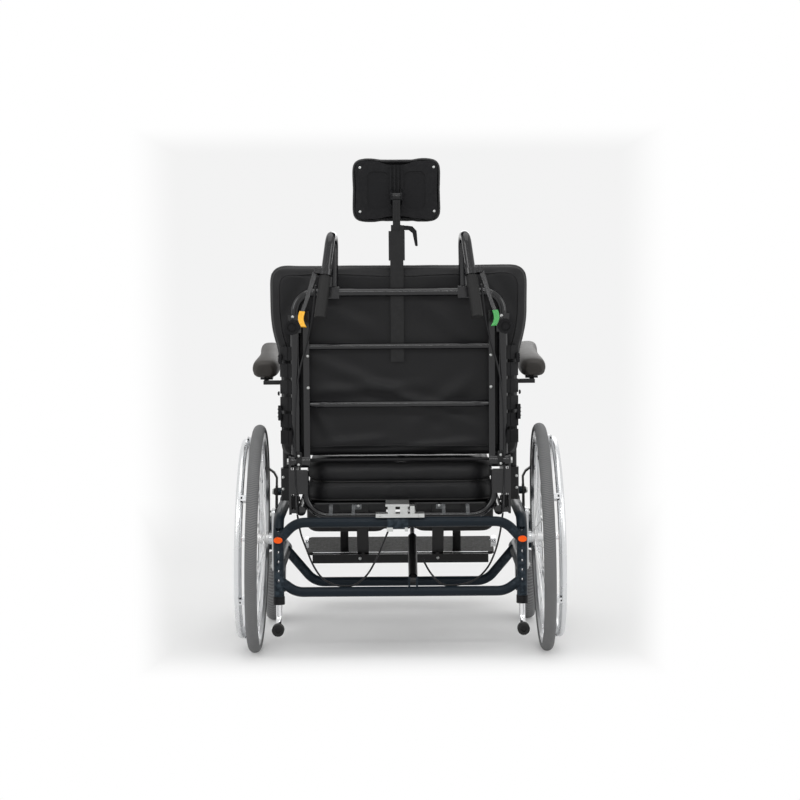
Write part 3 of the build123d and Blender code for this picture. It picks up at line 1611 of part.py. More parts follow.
# ---- parking brakes: a bent lever on the clamp's pin, with the shoe that presses on the tyre
for side, hand in sides:
    x = side * brake_x
    shoe_y = brake_y - brake_shoe_back
    shoe_z = brake_pin_height - brake_shoe_drop
    tyre_x = side * wheel_x
    with BuildPart() as brake_lever:
        plate_across(
            x,
            brake_plate,
            (
                (brake_y - 15, brake_pin_height),
                (shoe_y - 9, shoe_z - 8),
                (shoe_y + 9, shoe_z - 9),
                (brake_y + 15, brake_pin_height - 8),
                (brake_y + 22, brake_pin_height + 40),
                (brake_y + 0.47 * brake_handle, brake_pin_height + 0.88 * brake_handle),
                (brake_y + 0.34 * brake_handle, brake_pin_height + 0.94 * brake_handle),
                (brake_y - 6, brake_pin_height + 40),
            ),
            5,
        )
        rod((x, shoe_y, shoe_z), (tyre_x + side * tyre_width / 2, shoe_y, shoe_z), brake_shoe)
        grip_low = Vector(x, brake_y + 0.24 * brake_handle, brake_pin_height + 0.55 * brake_handle)
        grip_top = Vector(x, brake_y + 0.42 * brake_handle, brake_pin_height + brake_handle)
        rod(grip_low, grip_top, 18)
        rod(
            (x - 10, brake_y, brake_pin_height),
            (x + 10, brake_y, brake_pin_height),
            brake_pin + 2 * running,
            Mode.SUBTRACT,
        )
    save(brake_lever, f"brake_lever_{hand}")

# ---- gas springs: a cylinder on a fixed pin, and a rod that slides in it
def gas_spring(name, foot, head, cylinder, length, piston, eye_wide, stroke_room):
    along = (head - foot).normalized()
    half_eye = Vector(eye_wide / 2, 0, 0)
    piston_low = foot + along * (length * 0.55)
    with BuildPart() as barrel:
        rod(foot, foot + along * spring_neck, eye_wide * 0.9)
        rod(foot + along * (spring_neck - 2), foot + along * length, cylinder)
        rod(foot - half_eye, foot + half_eye, spring_eye)
        bore_low = piston_low - along * stroke_room
        rod(bore_low, foot + along * (length + 1), piston + 2 * running, Mode.SUBTRACT)
        rod(foot - half_eye * 2, foot + half_eye * 2, spring_pin + 2 * running, Mode.SUBTRACT)
    save(barrel, f"{name}_spring_cylinder")
    with BuildPart() as stroke:
        rod(piston_low, head - along * spring_neck, piston)
        rod(head - along * (spring_neck + 24), head - along * spring_neck, piston + 8)
        rod(head - along * (spring_neck + 1), head, eye_wide * 0.9)
        rod(head - half_eye, head + half_eye, spring_eye)
        loose = spring_pin + 2 * loose_pivot
        rod(head - half_eye * 2, head + half_eye * 2, loose, Mode.SUBTRACT)
    save(stroke, f"{name}_spring_rod")


gas_spring(
    "tilt",
    Vector(tilt_spring_x, upright_y, tilt_foot_height),
    Vector(tilt_spring_x, tilt_head_y, tilt_head_height),
    tilt_cylinder,
    tilt_cylinder_length,
    tilt_rod,
    spring_eye_width,
    10,
)
gas_spring(
    "recline",
    Vector(-recline_spring_x, recline_foot_y, recline_foot_height),
    Vector(-recline_spring_x, post_y, arm_low),
    recline_cylinder,
    recline_cylinder_length,
    recline_rod,
    spring_eye_width / 2,
    34,
)


# ---- release cables, held along the frame, the hinge and the back posts
def cable(points):
    # straight runs joined by arcs, each as large as its two runs allow
    stops = [Vector(*point) for point in points]
    runs = [after - before for before, after in zip(stops, stops[1:])]
    bends = []
    for before, after in zip(runs, runs[1:]):
        turn = radians(before.get_angle(after))
        bends.append(0.45 * min(before.length, after.length) / tan(turn / 2))
    length = bent_tube(stops, bends, cable_diameter)
    print("cable radii", [round(bend) for bend in bends], "length", round(length))
    return length


# on the frame each cable comes down inside its upright, lies on the lower bar and climbs again
cable_y = upright_y + cable_back
cable_off = (cross_tube + cable_diameter) / 2 + seating
rest_y = upright_y + cable_off / 2
rest_z = low_bar_height + cable_off * sqrt(3) / 2
cable_split = cross_height + 18
with BuildPart() as release_cables_frame:
    left_length = cable(
        [
            (49 - frame_x, cable_y, cable_split),
            (57 - frame_x, cable_y, 328),
            (73 - frame_x, cable_y, 286),
            (88 - frame_x, cable_y - 6, 247),
            (112 - frame_x, rest_y + 4, 211),
            (152 - frame_x, rest_y, rest_z),
            (-120, rest_y, rest_z),
            (-86, rest_y + 8, 220),
            (-62, cable_y, 262),
            (-44, cable_y + 4, 304),
            (-30, cable_y + 6, 338),
        ]
    )
    right_length = cable(
        [
            (frame_x - 49, cable_y, cable_split),
            (frame_x - 56, cable_y, 328),
            (frame_x - 68, cable_y, 280),
            (frame_x - 88, cable_y - 6, 236),
            (frame_x - 122, rest_y + 3, 204),
            (frame_x - 168, rest_y, rest_z),
            (108, rest_y, rest_z),
            (78, rest_y + 22, 222),
            (58, cable_y + 40, 256),
        ]
    )
save(release_cables_frame, "release_cables_frame")
print("cable volume", release_cables_frame.part.volume)
print("section times length", pi * cable_diameter**2 / 4 * (left_length + right_length))

web_seat = web_rear - cable_diameter / 2 - seating
with BuildPart() as release_cables_seat:
    for side, _ in sides:
        cable(
            [
                (side * (frame_x - 49), cable_y, cable_split + 1.2),
                (side * (frame_x - 47), cable_y + 3, 404),
                (side * (frame_x - 45), web_seat, 442),
                (side * (frame_x - 44), web_seat, 486),
                (side * (frame_x - 43.5), web_seat, 506),
            ]
        )
save(release_cables_seat, "release_cables_seat")

cable_rear = post_y - (post_tube + cable_diameter) / 2 - seating
with BuildPart() as release_cables_back:
    for side, _ in sides:
        cable(
            [
                (side * (post_x + 2), cable_rear - 8, 528),
                (side * (post_x + 3), cable_rear - 5, 580),
                (side * (post_x + 2), cable_rear, 640),
                (side * (post_x - 2), cable_rear, 704),
                (side * (post_x - 13), cable_rear - 1, 768),
                (side * (post_x - 31), cable_rear - 3, 826),
                (side * (post_x - 44), cable_rear - 6, 886),
                (side * (post_x - 52), cable_rear - 16, 940),
                (side * (post_x - 58), cable_rear - 52, 984),
            ]
        )
save(release_cables_back, "release_cables_back")
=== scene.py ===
import json
from math import cos, exp, pi, radians, sin, sqrt, tan

import bmesh
import bpy
from mathutils import Matrix, Vector, noise


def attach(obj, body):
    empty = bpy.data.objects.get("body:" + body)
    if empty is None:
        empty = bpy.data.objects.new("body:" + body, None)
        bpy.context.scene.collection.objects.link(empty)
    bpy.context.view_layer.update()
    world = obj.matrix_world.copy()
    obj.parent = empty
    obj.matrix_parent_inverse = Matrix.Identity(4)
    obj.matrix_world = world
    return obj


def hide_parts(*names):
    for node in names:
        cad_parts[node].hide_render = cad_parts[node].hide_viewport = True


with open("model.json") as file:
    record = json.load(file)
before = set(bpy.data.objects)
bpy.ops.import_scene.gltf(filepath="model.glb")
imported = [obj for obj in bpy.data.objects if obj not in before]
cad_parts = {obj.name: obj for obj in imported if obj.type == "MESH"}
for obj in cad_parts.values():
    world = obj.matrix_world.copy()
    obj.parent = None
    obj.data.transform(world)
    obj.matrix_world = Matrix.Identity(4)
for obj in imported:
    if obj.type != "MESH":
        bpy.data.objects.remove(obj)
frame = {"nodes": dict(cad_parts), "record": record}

scene = bpy.context.scene
cadNodes = frame["nodes"]
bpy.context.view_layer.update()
sides = ((-1, "left"), (1, "right"))
print("frame loaded with", len(cadNodes), "nodes")

# ---- camera and studio
cameraView = {
    "stand": (0.0019, -6.173, 1.1),
    "down": 4.113,  # degrees below level
    "roll": -0.4,
    "lens": 100.1,
    "sensor": 36.0,
    "farthest": 60,
}
cameraData = bpy.data.cameras.new("photoCamera")
cameraData.lens = cameraView["lens"]
cameraData.sensor_width = cameraView["sensor"]
cameraData.clip_end = cameraView["farthest"]
photoCamera = bpy.data.objects.new("photoCamera", cameraData)
scene.collection.objects.link(photoCamera)
photoCamera.matrix_world = (
    Matrix.Translation(cameraView["stand"])
    @ Matrix.Rotation(radians(90 - cameraView["down"]), 4, "X")
    @ Matrix.Rotation(radians(cameraView["roll"]), 4, "Z")
)
scene.camera = photoCamera
scene.view_settings.view_transform = "Standard"


def linkInto(tree, value, socket):
    # a node's output is linked, anything else is set on the socket
    if isinstance(value, bpy.types.NodeSocket):
        tree.links.new(value, socket)
    else:
        socket.default_value = value


def mathNode(tree, operation, *values):
    node = tree.nodes.new("ShaderNodeMath")
    node.operation = operation
    for value, socket in zip(values, node.inputs):
        linkInto(tree, value, socket)
    return node.outputs[0]


def rangeNode(tree, value, low, high, smooth=False):
    node = tree.nodes.new("ShaderNodeMapRange")
    node.interpolation_type = "SMOOTHSTEP" if smooth else "LINEAR"
    for number, given in enumerate((value, low, high)):
        linkInto(tree, given, node.inputs[number])
    return node.outputs[0]


def mixNode(tree, share, first, second, blend="MIX"):
    node = tree.nodes.new("ShaderNodeMix")
    node.data_type = "RGBA"
    node.blend_type = blend
    linkInto(tree, share, node.inputs[0])
    linkInto(tree, first, node.inputs[6])
    linkInto(tree, second, node.inputs[7])
    return node.outputs[2]


def noiseNode(tree, point, size, detail=3.0):
    node = tree.nodes.new("ShaderNodeTexNoise")
    node.inputs["Detail"].default_value = detail
    linkInto(tree, size, node.inputs["Scale"])
    linkInto(tree, point, node.inputs["Vector"])
    return node.outputs[0]


def vectorNode(tree, operation, first, second):
    node = tree.nodes.new("ShaderNodeVectorMath")
    node.operation = operation
    linkInto(tree, first, node.inputs[0])
    linkInto(tree, second, node.inputs["Scale" if operation == "SCALE" else 1])
    return node.outputs[0]


def mixShaders(tree, share, first, second):
    node = tree.nodes.new("ShaderNodeMixShader")
    for value, socket in zip((share, first, second), node.inputs):
        linkInto(tree, value, socket)
    return node.outputs[0]


# darks a colour by a tone; used to paint shade into the weave and the drawn lines
def shadedNode(tree, color, tone):
    return mixNode(tree, 1.0, color, (tone, tone, tone, 1), "MULTIPLY")


def bumpInto(tree, shader, height, strength, deep):
    bump = tree.nodes.new("ShaderNodeBump")
    bump.inputs["Strength"].default_value = strength
    bump.inputs["Distance"].default_value = deep
    linkInto(tree, height, bump.inputs["Height"])
    linkInto(tree, bump.outputs[0], shader.inputs["Normal"])


def newMaterial(name):
    material = bpy.data.materials.new(name)
    material.use_nodes = True
    tree = material.node_tree
    return material, tree, tree.nodes["Principled BSDF"]


def objectPoint(tree):
    return tree.nodes.new("ShaderNodeTexCoord").outputs["Object"]


def splitPoint(tree, point):
    node = tree.nodes.new("ShaderNodeSeparateXYZ")
    linkInto(tree, point, node.inputs[0])
    return node.outputs


def seenDirectly(tree):
    # 1 for what the camera, a reflection or clear glass shows
    path = tree.nodes.new("ShaderNodeLightPath").outputs
    glossy = mathNode(tree, "MAXIMUM", path["Is Glossy Ray"], path["Is Transmission Ray"])
    return mathNode(tree, "MAXIMUM", path["Is Camera Ray"], glossy)


studioLook = {
    "fill": 0.56,
    "paperTone": (0.895, 0.895, 0.895, 1),
    "whiteTone": (1, 1, 1, 1),
    "floorTone": (0.9, 0.9, 0.895, 1),
    "floorRadius": 14.0,
    "lamps": (
        ("topSoftbox", (0.0, -0.5, 3.3), (0.0, -0.2, 0.6), (3.0, 3.0), 32.0),
        ("leftSoftbox", (-3.4, -2.6, 2.2), (0.0, 0.0, 0.7), (2.0, 2.0), 34.0),
        ("rightSoftbox", (3.6, -2.0, 1.9), (0.0, 0.0, 0.7), (2.0, 2.0), 26.0),
        ("frontSoftbox", (0.8, 4.2, 2.4), (0.0, 0.0, 0.7), (2.2, 2.2), 30.0),
        ("stripSoftbox", (0.0, -4.4, 3.0), (0.0, 0.0, 0.8), (2.6, 0.22), 30.0),
    ),
}


def paperEdge(tree, direction):
    # 0 on the grey paper and 1 outside it, for a direction away from where the photograph was taken
    across, ahead, up = splitPoint(tree, direction)
    ahead = mathNode(tree, "MAXIMUM", ahead, 0.01)
    across = mathNode(tree, "DIVIDE", mathNode(tree, "ABSOLUTE", across), ahead)
    up = mathNode(tree, "DIVIDE", up, ahead)
    beside = rangeNode(tree, across, 0.097, 0.122, smooth=True)
    above = rangeNode(tree, up, 0.038, 0.052, smooth=True)
    below = rangeNode(tree, up, -0.18, -0.199, smooth=True)
    return mathNode(tree, "MAXIMUM", beside, mathNode(tree, "MAXIMUM", above, below))


world = bpy.data.worlds.new("paperSky")
scene.world = world
world.use_nodes = True
skyTree = world.node_tree
skyTree.nodes.clear()
skyTone = mixNode(
    skyTree,
    paperEdge(skyTree, skyTree.nodes.new("ShaderNodeTexCoord").outputs["Generated"]),
    studioLook["paperTone"],
    studioLook["whiteTone"],
)
shownSky = skyTree.nodes.new("ShaderNodeBackground")
linkInto(skyTree, skyTone, shownSky.inputs[0])
lightSky = skyTree.nodes.new("ShaderNodeBackground")
lightSky.inputs[0].default_value = studioLook["whiteTone"]
lightSky.inputs[1].default_value = studioLook["fill"]
skyShader = mixShaders(skyTree, seenDirectly(skyTree), lightSky.outputs[0], shownSky.outputs[0])
linkInto(skyTree, skyShader, skyTree.nodes.new("ShaderNodeOutputWorld").inputs[0])

floorMesh = bpy.data.meshes.new("paperFloor")
floorBm = bmesh.new()
bmesh.ops.create_circle(floorBm, cap_ends=True, segments=96, radius=studioLook["floorRadius"])
floorBm.to_mesh(floorMesh)
floorBm.free()
paperFloor = bpy.data.objects.new("paperFloor", floorMesh)
scene.collection.objects.link(paperFloor)
floorPaint, floorTree, floorShader = newMaterial("paperFloor")
floorShader.inputs["Base Color"].default_value = studioLook["floorTone"]
floorShader.inputs["Roughness"].default_value = 0.85
awayFrom = vectorNode(floorTree, "SUBTRACT", objectPoint(floorTree), cameraView["stand"])
whitePart = paperEdge(floorTree, awayFrom)
farther = rangeNode(floorTree, splitPoint(floorTree, objectPoint(floorTree))[1], 0.3, 3.4, smooth=True)
fadeTone = mixNode(floorTree, whitePart, studioLook["paperTone"], studioLook["whiteTone"])
fadeShare = mathNode(floorTree, "MAXIMUM", mathNode(floorTree, "MAXIMUM", whitePart, farther), 0.2)
floorGlow = floorTree.nodes.new("ShaderNodeEmission")
linkInto(floorTree, fadeTone, floorGlow.inputs[0])
glowShare = mathNode(floorTree, "MULTIPLY", fadeShare, seenDirectly(floorTree))
floorMix = mixShaders(floorTree, glowShare, floorShader.outputs[0], floorGlow.outputs[0])
linkInto(floorTree, floorMix, floorTree.nodes["Material Output"].inputs[0])
floorMesh.materials.append(floorPaint)

for lampName, stand, aim, size, power in studioLook["lamps"]:
    lampData = bpy.data.lights.new(lampName, "AREA")
    lampData.shape = "RECTANGLE"
    lampData.size, lampData.size_y = size
    lampData.energy = power
    lamp = bpy.data.objects.new(lampName, lampData)
    scene.collection.objects.link(lamp)
    lamp.location = stand
    lamp.rotation_euler = (Vector(aim) - Vector(stand)).to_track_quat("-Z", "Y").to_euler()
print("camera, floor and lamps set")


# ---- shared effects, as node groups that give colours, masks, values and heights
def newGroup(name, inputs, outputs):
    tree = bpy.data.node_groups.new(name, "ShaderNodeTree")
    for label, kind, value in inputs:
        socket = tree.interface.new_socket(label, in_out="INPUT", socket_type="NodeSocket" + kind)
        socket.default_value = value
    for label, kind in outputs:
        tree.interface.new_socket(label, in_out="OUTPUT", socket_type="NodeSocket" + kind)
    given = tree.nodes.new("NodeGroupInput").outputs
    result = tree.nodes.new("NodeGroupOutput").inputs
    return tree, given, result


def useGroup(tree, group, values):
    node = tree.nodes.new("ShaderNodeGroup")
    node.node_tree = group
    for label, value in values.items():
        linkInto(tree, value, node.inputs[label])
    return node.outputs


dark = (0.03, 0.03, 0.03, 1)

# a mottled tone, a roughness that wanders with it and a fine height
surfaceGrain, given, result = newGroup(
    "surfaceGrain",
    (("Color", "Color", dark), ("Tone", "Float", 0.2), ("Grain", "Float", 30.0),
     ("Roughness", "Float", 0.5), ("Spread", "Float", 0.1)),
    (("Color", "Color"), ("Roughness", "Float"), ("Height", "Float")),
)
here = objectPoint(surfaceGrain)
mottle = noiseNode(surfaceGrain, here, mathNode(surfaceGrain, "MULTIPLY", given["Grain"], 0.12), 4.0)
speck = noiseNode(surfaceGrain, here, mathNode(surfaceGrain, "MULTIPLY", given["Grain"], 12.0), 2.0)
swing = mathNode(surfaceGrain, "MULTIPLY_ADD", mottle, 2.0, -1.0)
tone = mathNode(surfaceGrain, "MULTIPLY_ADD", swing, given["Tone"], 1.0)
linkInto(surfaceGrain, vectorNode(surfaceGrain, "SCALE", given["Color"], tone), result["Color"])
wander = mathNode(surfaceGrain, "MULTIPLY_ADD", swing, given["Spread"], given["Roughness"])
linkInto(surfaceGrain, wander, result["Roughness"])
linkInto(surfaceGrain, speck, result["Height"])

# paler metal or plastic where an outward edge is rubbed
edgeWear, given, result = newGroup(
    "edgeWear",
    (("Color", "Color", dark), ("Worn", "Color", (0.3, 0.3, 0.3, 1)), ("Amount", "Float", 0.4)),
    (("Color", "Color"), ("Mask", "Float")),
)
sharpness = edgeWear.nodes.new("ShaderNodeNewGeometry").outputs["Pointiness"]
onEdge = rangeNode(edgeWear, sharpness, 0.53, 0.6)
patchy = rangeNode(edgeWear, noiseNode(edgeWear, objectPoint(edgeWear), 90.0), 0.4, 0.65)
worn = mathNode(edgeWear, "MULTIPLY", mathNode(edgeWear, "MULTIPLY", onEdge, patchy), given["Amount"])
linkInto(edgeWear, mixNode(edgeWear, worn, given["Color"], given["Worn"]), result["Color"])
linkInto(edgeWear, worn, result["Mask"])

# a thin film of dust on what faces up
restingDust, given, result = newGroup(
    "restingDust",
    (("Color", "Color", dark), ("Dust", "Color", (0.42, 0.4, 0.37, 1)), ("Amount", "Float", 0.05)),
    (("Color", "Color"), ("Mask", "Float")),
)
facing = splitPoint(restingDust, restingDust.nodes.new("ShaderNodeNewGeometry").outputs["Normal"])
upFace = rangeNode(restingDust, facing[2], 0.35, 1.0)
cloudy = rangeNode(restingDust, noiseNode(restingDust, objectPoint(restingDust), 14.0, 5.0), 0.35, 0.75)
film = mathNode(restingDust, "MULTIPLY", mathNode(restingDust, "MULTIPLY", upFace, cloudy), given["Amount"])
linkInto(restingDust, mixNode(restingDust, film, given["Color"], given["Dust"]), result["Color"])
linkInto(restingDust, film, result["Mask"])

# a plain weave that works on every side of a piece; its mask is 1 on the raised threads, and the finishes
# paint shade where it is low
crossWeave, given, result = newGroup(
    "crossWeave", (("Threads", "Float", 900.0),), (("Height", "Float"), ("Mask", "Float"))
)
place = splitPoint(crossWeave, objectPoint(crossWeave))
depthWise = mathNode(crossWeave, "ADD", place[2], place[1])
warp = mathNode(crossWeave, "SINE", mathNode(crossWeave, "MULTIPLY", place[0], given["Threads"]))
weft = mathNode(crossWeave, "SINE", mathNode(crossWeave, "MULTIPLY", depthWise, given["Threads"]))
woven = mathNode(crossWeave, "MULTIPLY_ADD", mathNode(crossWeave, "MULTIPLY", warp, weft), 0.5, 0.5)
linkInto(crossWeave, woven, result["Height"])
linkInto(crossWeave, rangeNode(crossWeave, woven, 0.35, 0.8), result["Mask"])

# fine drawn lines along one direction, given as how much each axis is stretched; the finishes paint shade
# where the lines are low
drawnLines, given, result = newGroup(
    "drawnLines",
    (("Stretch", "Vector", (20.0, 900.0, 900.0)),),
    (("Height", "Float"), ("Mask", "Float")),
)
pulled = vectorNode(drawnLines, "MULTIPLY", objectPoint(drawnLines), given["Stretch"])
lines = noiseNode(drawnLines, pulled, 1.0, 2.0)
linkInto(drawnLines, lines, result["Height"])
linkInto(drawnLines, rangeNode(drawnLines, lines, 0.3, 0.7), result["Mask"])

# tread around a wheel: cross cuts and two grooves outside a radius, for a hub at the given place
treadCuts, given, result = newGroup(
    "treadCuts",
    (("Hub", "Vector", (0.0, 0.0, 0.0)), ("Cuts", "Float", 120.0), ("Start", "Float", 0.3),
     ("Groove", "Float", 500.0)),
    (("Height", "Float"), ("Mask", "Float"), ("Radius", "Float")),
)
offHub = splitPoint(treadCuts, vectorNode(treadCuts, "SUBTRACT", objectPoint(treadCuts), given["Hub"]))
square = mathNode(treadCuts, "ADD", mathNode(treadCuts, "POWER", offHub[1], 2.0),
                  mathNode(treadCuts, "POWER", offHub[2], 2.0))
reach = mathNode(treadCuts, "SQRT", square)
turn = mathNode(treadCuts, "ARCTAN2", offHub[2], offHub[1])
slanted = mathNode(treadCuts, "MULTIPLY_ADD", mathNode(treadCuts, "ABSOLUTE", offHub[0]), given["Groove"],
                   mathNode(treadCuts, "MULTIPLY", turn, given["Cuts"]))
cuts = rangeNode(treadCuts, mathNode(treadCuts, "SINE", slanted), -0.2, 0.3)
onTread = rangeNode(treadCuts, reach, given["Start"], mathNode(treadCuts, "ADD", given["Start"], 0.002))
linkInto(treadCuts, mathNode(treadCuts, "MULTIPLY", cuts, onTread), result["Height"])
linkInto(treadCuts, onTread, result["Mask"])
linkInto(treadCuts, reach, result["Radius"])


# ---- finishes: one dictionary each, with what differs from a plain satin surface
def newFinish(name, look):
    material, tree, shader = newMaterial(name)
    for label, socket in (("shine", "Specular IOR Level"), ("metal", "Metallic")):
        if label in look:
            shader.inputs[socket].default_value = look[label]
    grain = useGroup(tree, surfaceGrain, {
        "Color": (*look["color"], 1), "Tone": look.get("tone", 0.15), "Grain": look.get("grain", 40.0),
        "Roughness": look.get("rough", 0.45), "Spread": look.get("spread", 0.08),
    })
    color, height = grain["Color"], grain["Height"]
    if "threads" in look:
        weave = useGroup(tree, crossWeave, {"Threads": look["threads"]})
        # painted shade: where the weave's threads lie low the colour is darkened to 0.6
        color = mixNode(tree, weave["Mask"], shadedNode(tree, color, 0.6), color)
        height = mathNode(tree, "MULTIPLY_ADD", weave["Height"], look.get("weaveShare", 1.0), height)
    if "stretch" in look:
        drawn = useGroup(tree, drawnLines, {"Stretch": look["stretch"]})
        height = mathNode(tree, "MULTIPLY_ADD", drawn["Height"], 1.5, height)
        # painted shade: the drawn lines' low grooves are darkened to 0.86
        color = mixNode(tree, drawn["Mask"], shadedNode(tree, color, 0.86), color)
    if "worn" in look:
        wear = useGroup(tree, edgeWear, {"Color": color, "Worn": (*look["worn"], 1),
                                         "Amount": look.get("wearAmount", 0.4)})
        color = wear["Color"]
    dust = useGroup(tree, restingDust, {"Color": color, "Amount": look.get("dust", 0.05)})
    linkInto(tree, dust["Color"], shader.inputs["Base Color"])
    linkInto(tree, grain["Roughness"], shader.inputs["Roughness"])
    bumpInto(tree, shader, height, look.get("bump", 0.12), look.get("deep", 0.0004))
    return material


finishes = {}
finishLooks = {
    "frame_paint": {
        "color": (0.008, 0.0135, 0.0195), "tone": 0.08, "rough": 0.36, "grain": 60.0,
        "worn": (0.1, 0.13, 0.16), "wearAmount": 0.25, "dust": 0.01, "shine": 0.14,
    },
    "black_paint": {
        "color": (0.005, 0.005, 0.0055), "tone": 0.08, "rough": 0.3, "spread": 0.04,
        "worn": (0.04, 0.04, 0.04), "wearAmount": 0.08, "dust": 0.012, "shine": 0.3,
    },
    "black_tube": {
        "color": (0.004, 0.004, 0.005), "tone": 0.1, "rough": 0.13, "spread": 0.03,
        "worn": (0.05, 0.05, 0.05), "wearAmount": 0.15, "dust": 0.01, "shine": 0.5,
    },
    "silver_alloy": {
        "color": (0.66, 0.67, 0.68), "tone": 0.05, "rough": 0.28, "dust": 0.03, "bump": 0.06,
        "metal": 0.9,
    },
    "zinc": {
        "color": (0.56, 0.57, 0.56), "tone": 0.16, "rough": 0.38, "grain": 90.0,
        "stretch": (60.0, 700.0, 700.0), "bump": 0.18, "metal": 0.85,
    },
    "chrome": {"color": (0.72, 0.72, 0.73), "tone": 0.03, "rough": 0.1, "bump": 0.02, "metal": 1.0},
    "steel": {"color": (0.8, 0.8, 0.8), "tone": 0.08, "rough": 0.35, "bump": 0.05, "metal": 0.9},
    "rubber": {
        "color": (0.012, 0.012, 0.012), "rough": 0.6, "grain": 80.0, "bump": 0.25, "dust": 0.05,
        "shine": 0.25,
    },
    "black_plastic": {
        "color": (0.006, 0.006, 0.007), "tone": 0.1, "rough": 0.42, "grain": 120.0, "bump": 0.25,
        "worn": (0.04, 0.04, 0.04), "wearAmount": 0.1, "dust": 0.006, "shine": 0.15,
    },
    "orange_plastic": {
        "color": (1.0, 0.115, 0.006), "tone": 0.04, "rough": 0.35, "grain": 60.0, "bump": 0.08,
        "dust": 0.01, "shine": 0.18,
    },
    "upholstery": {
        "color": (0.0095, 0.0095, 0.0105), "tone": 0.15, "rough": 0.48, "spread": 0.1, "grain": 26.0,
        "threads": 2600.0, "weaveShare": 0.6, "bump": 0.16, "deep": 0.0003, "dust": 0.006, "shine": 0.22,
    },
    "vinyl": {
        "color": (0.01, 0.01, 0.011), "tone": 0.12, "rough": 0.4, "grain": 70.0, "bump": 0.3,
        "dust": 0.01, "shine": 0.25,
    },
    "arm_pad": {
        "color": (0.034, 0.031, 0.028), "tone": 0.15, "rough": 0.5, "grain": 90.0, "bump": 0.3,
        "dust": 0.12, "shine": 0.2,
    },
    "webbing": {
        "color": (0.01, 0.01, 0.011), "rough": 0.7, "threads": 1900.0, "bump": 0.6, "deep": 0.0006,
        "dust": 0.01, "shine": 0.2,
    },
    "cable_sheath": {
        "color": (0.007, 0.007, 0.008), "rough": 0.35, "grain": 60.0, "bump": 0.06, "dust": 0.01,
        "shine": 0.3,
    },
}
for slotName, look in finishLooks.items():
    finishes[slotName] = newFinish(slotName.replace("_", ""), look)
print("plain finishes made:", len(finishes))

wheelSpots = {
    "rear": {"x": 0.382, "y": -0.251, "z": 0.3049, "camber": 1.5},
    "caster": {"x": 0.368, "y": 0.249, "z": 0.1},
}
tyreLooks = {
    "rear": {"color": (0.15, 0.152, 0.154), "cuts": 300.0, "start": 0.2935, "groove": 420.0, "bump": 0.3,
             "centre": 0.0},
    "caster": {"color": (0.2, 0.202, 0.206), "cuts": 70.0, "start": 0.0955, "groove": 260.0, "bump": 0.15,
               "centre": 0.0741},
}


def newTyre(name, spot, side, look):
    material, tree, shader = newMaterial(name)
    shader.inputs["Specular IOR Level"].default_value = 0.35
    grain = useGroup(tree, surfaceGrain, {
        "Color": (*look["color"], 1), "Tone": 0.16, "Grain": 50.0, "Roughness": 0.72, "Spread": 0.06,
    })
    tread = useGroup(tree, treadCuts, {
        "Hub": (side * spot["x"], spot["y"], spot["z"]), "Cuts": look["cuts"], "Start": look["start"],
        "Groove": look["groove"],
    })
    # painted shade: the tread's cuts are darkened towards 0.035
    cutShadeShare = mathNode(tree, "MULTIPLY", tread["Height"], 0.45)
    shade = mixNode(tree, cutShadeShare, grain["Color"], (0.035, 0.035, 0.035, 1))
    centre = rangeNode(tree, tread["Radius"], look["centre"], look["centre"] + 0.0008)
    shade = mixNode(tree, centre, (0.016, 0.016, 0.017, 1), shade)
    # the walls carry fine rings, and road dust greys the tread
    rings = mathNode(tree, "SINE", mathNode(tree, "MULTIPLY", tread["Radius"], 1500.0))
    walls = mathNode(tree, "MULTIPLY", rings, mathNode(tree, "SUBTRACT", 1.0, tread["Mask"]))
    road = mathNode(tree, "MULTIPLY", tread["Mask"], noiseNode(tree, objectPoint(tree), 30.0))
    shade = mixNode(tree, mathNode(tree, "MULTIPLY", road, 0.2), shade, (0.25, 0.25, 0.25, 1))
    linkInto(tree, shade, shader.inputs["Base Color"])
    linkInto(tree, grain["Roughness"], shader.inputs["Roughness"])
    cutHeight = mathNode(tree, "SUBTRACT", grain["Height"], tread["Height"])
    bumpInto(tree, shader, mathNode(tree, "MULTIPLY_ADD", walls, 0.12, cutHeight), look["bump"], 0.0006)
    return material


for side, hand in sides:
    for name, wheel in (("tyre", "rear"), ("caster", "caster")):
        finishes[name + hand] = newTyre(wheel + "Tyre" + hand, wheelSpots[wheel], side, tyreLooks[wheel])

# the footboard's raised lozenges, with painted shade in the hollows between them
finishes["tread_plate"] = newFinish("treadPlate", {
    "color": (0.014, 0.014, 0.0125), "tone": 0.12, "rough": 0.55, "threads": 620.0, "weaveShare": 5.0,
    "bump": 0.5, "deep": 0.0009, "dust": 0.02, "worn": (0.06, 0.06, 0.06), "shine": 0.1,
})

# release levers: a black blade whose end, below a height, has the colour that tells the two apart
leverBlack = {"color": (0.014, 0.014, 0.015), "rough": 0.4, "grain": 90.0, "bump": 0.12}
leverLooks = {"left": (0.86, 0.42, 0.0, 1), "right": (0.03, 0.3, 0.055, 1)}
for hand, tip in leverLooks.items():
    lever = newFinish("releaseLever" + hand, leverBlack)
    tree = lever.node_tree
    shader = tree.nodes["Principled BSDF"]
    plain = shader.inputs["Base Color"].links[0].from_socket
    high = splitPoint(tree, objectPoint(tree))[2]
    atTip = rangeNode(tree, high, 0.913, 0.911)
    speckled = useGroup(tree, surfaceGrain, {"Color": tip, "Tone": 0.1, "Grain": 80.0})
    linkInto(tree, mixNode(tree, atTip, plain, speckled["Color"]), shader.inputs["Base Color"])
    finishes["lever" + hand] = lever

finishes["greyClip"] = newFinish("greyClip", {
    "color": (0.12, 0.125, 0.13), "rough": 0.45, "grain": 80.0, "bump": 0.15,
})
finishes["piping"] = newFinish("pipingCord", {
    "color": (0.008, 0.008, 0.008), "rough": 0.4, "grain": 120.0, "bump": 0.2, "dust": 0.01,
    "shine": 0.25,
})
for name, color in (("yellowTip", (0.86, 0.42, 0.0)), ("greenTip", (0.03, 0.3, 0.055))):
    finishes[name] = newFinish(name, {"color": color, "tone": 0.08, "rough": 0.35, "bump": 0.05})

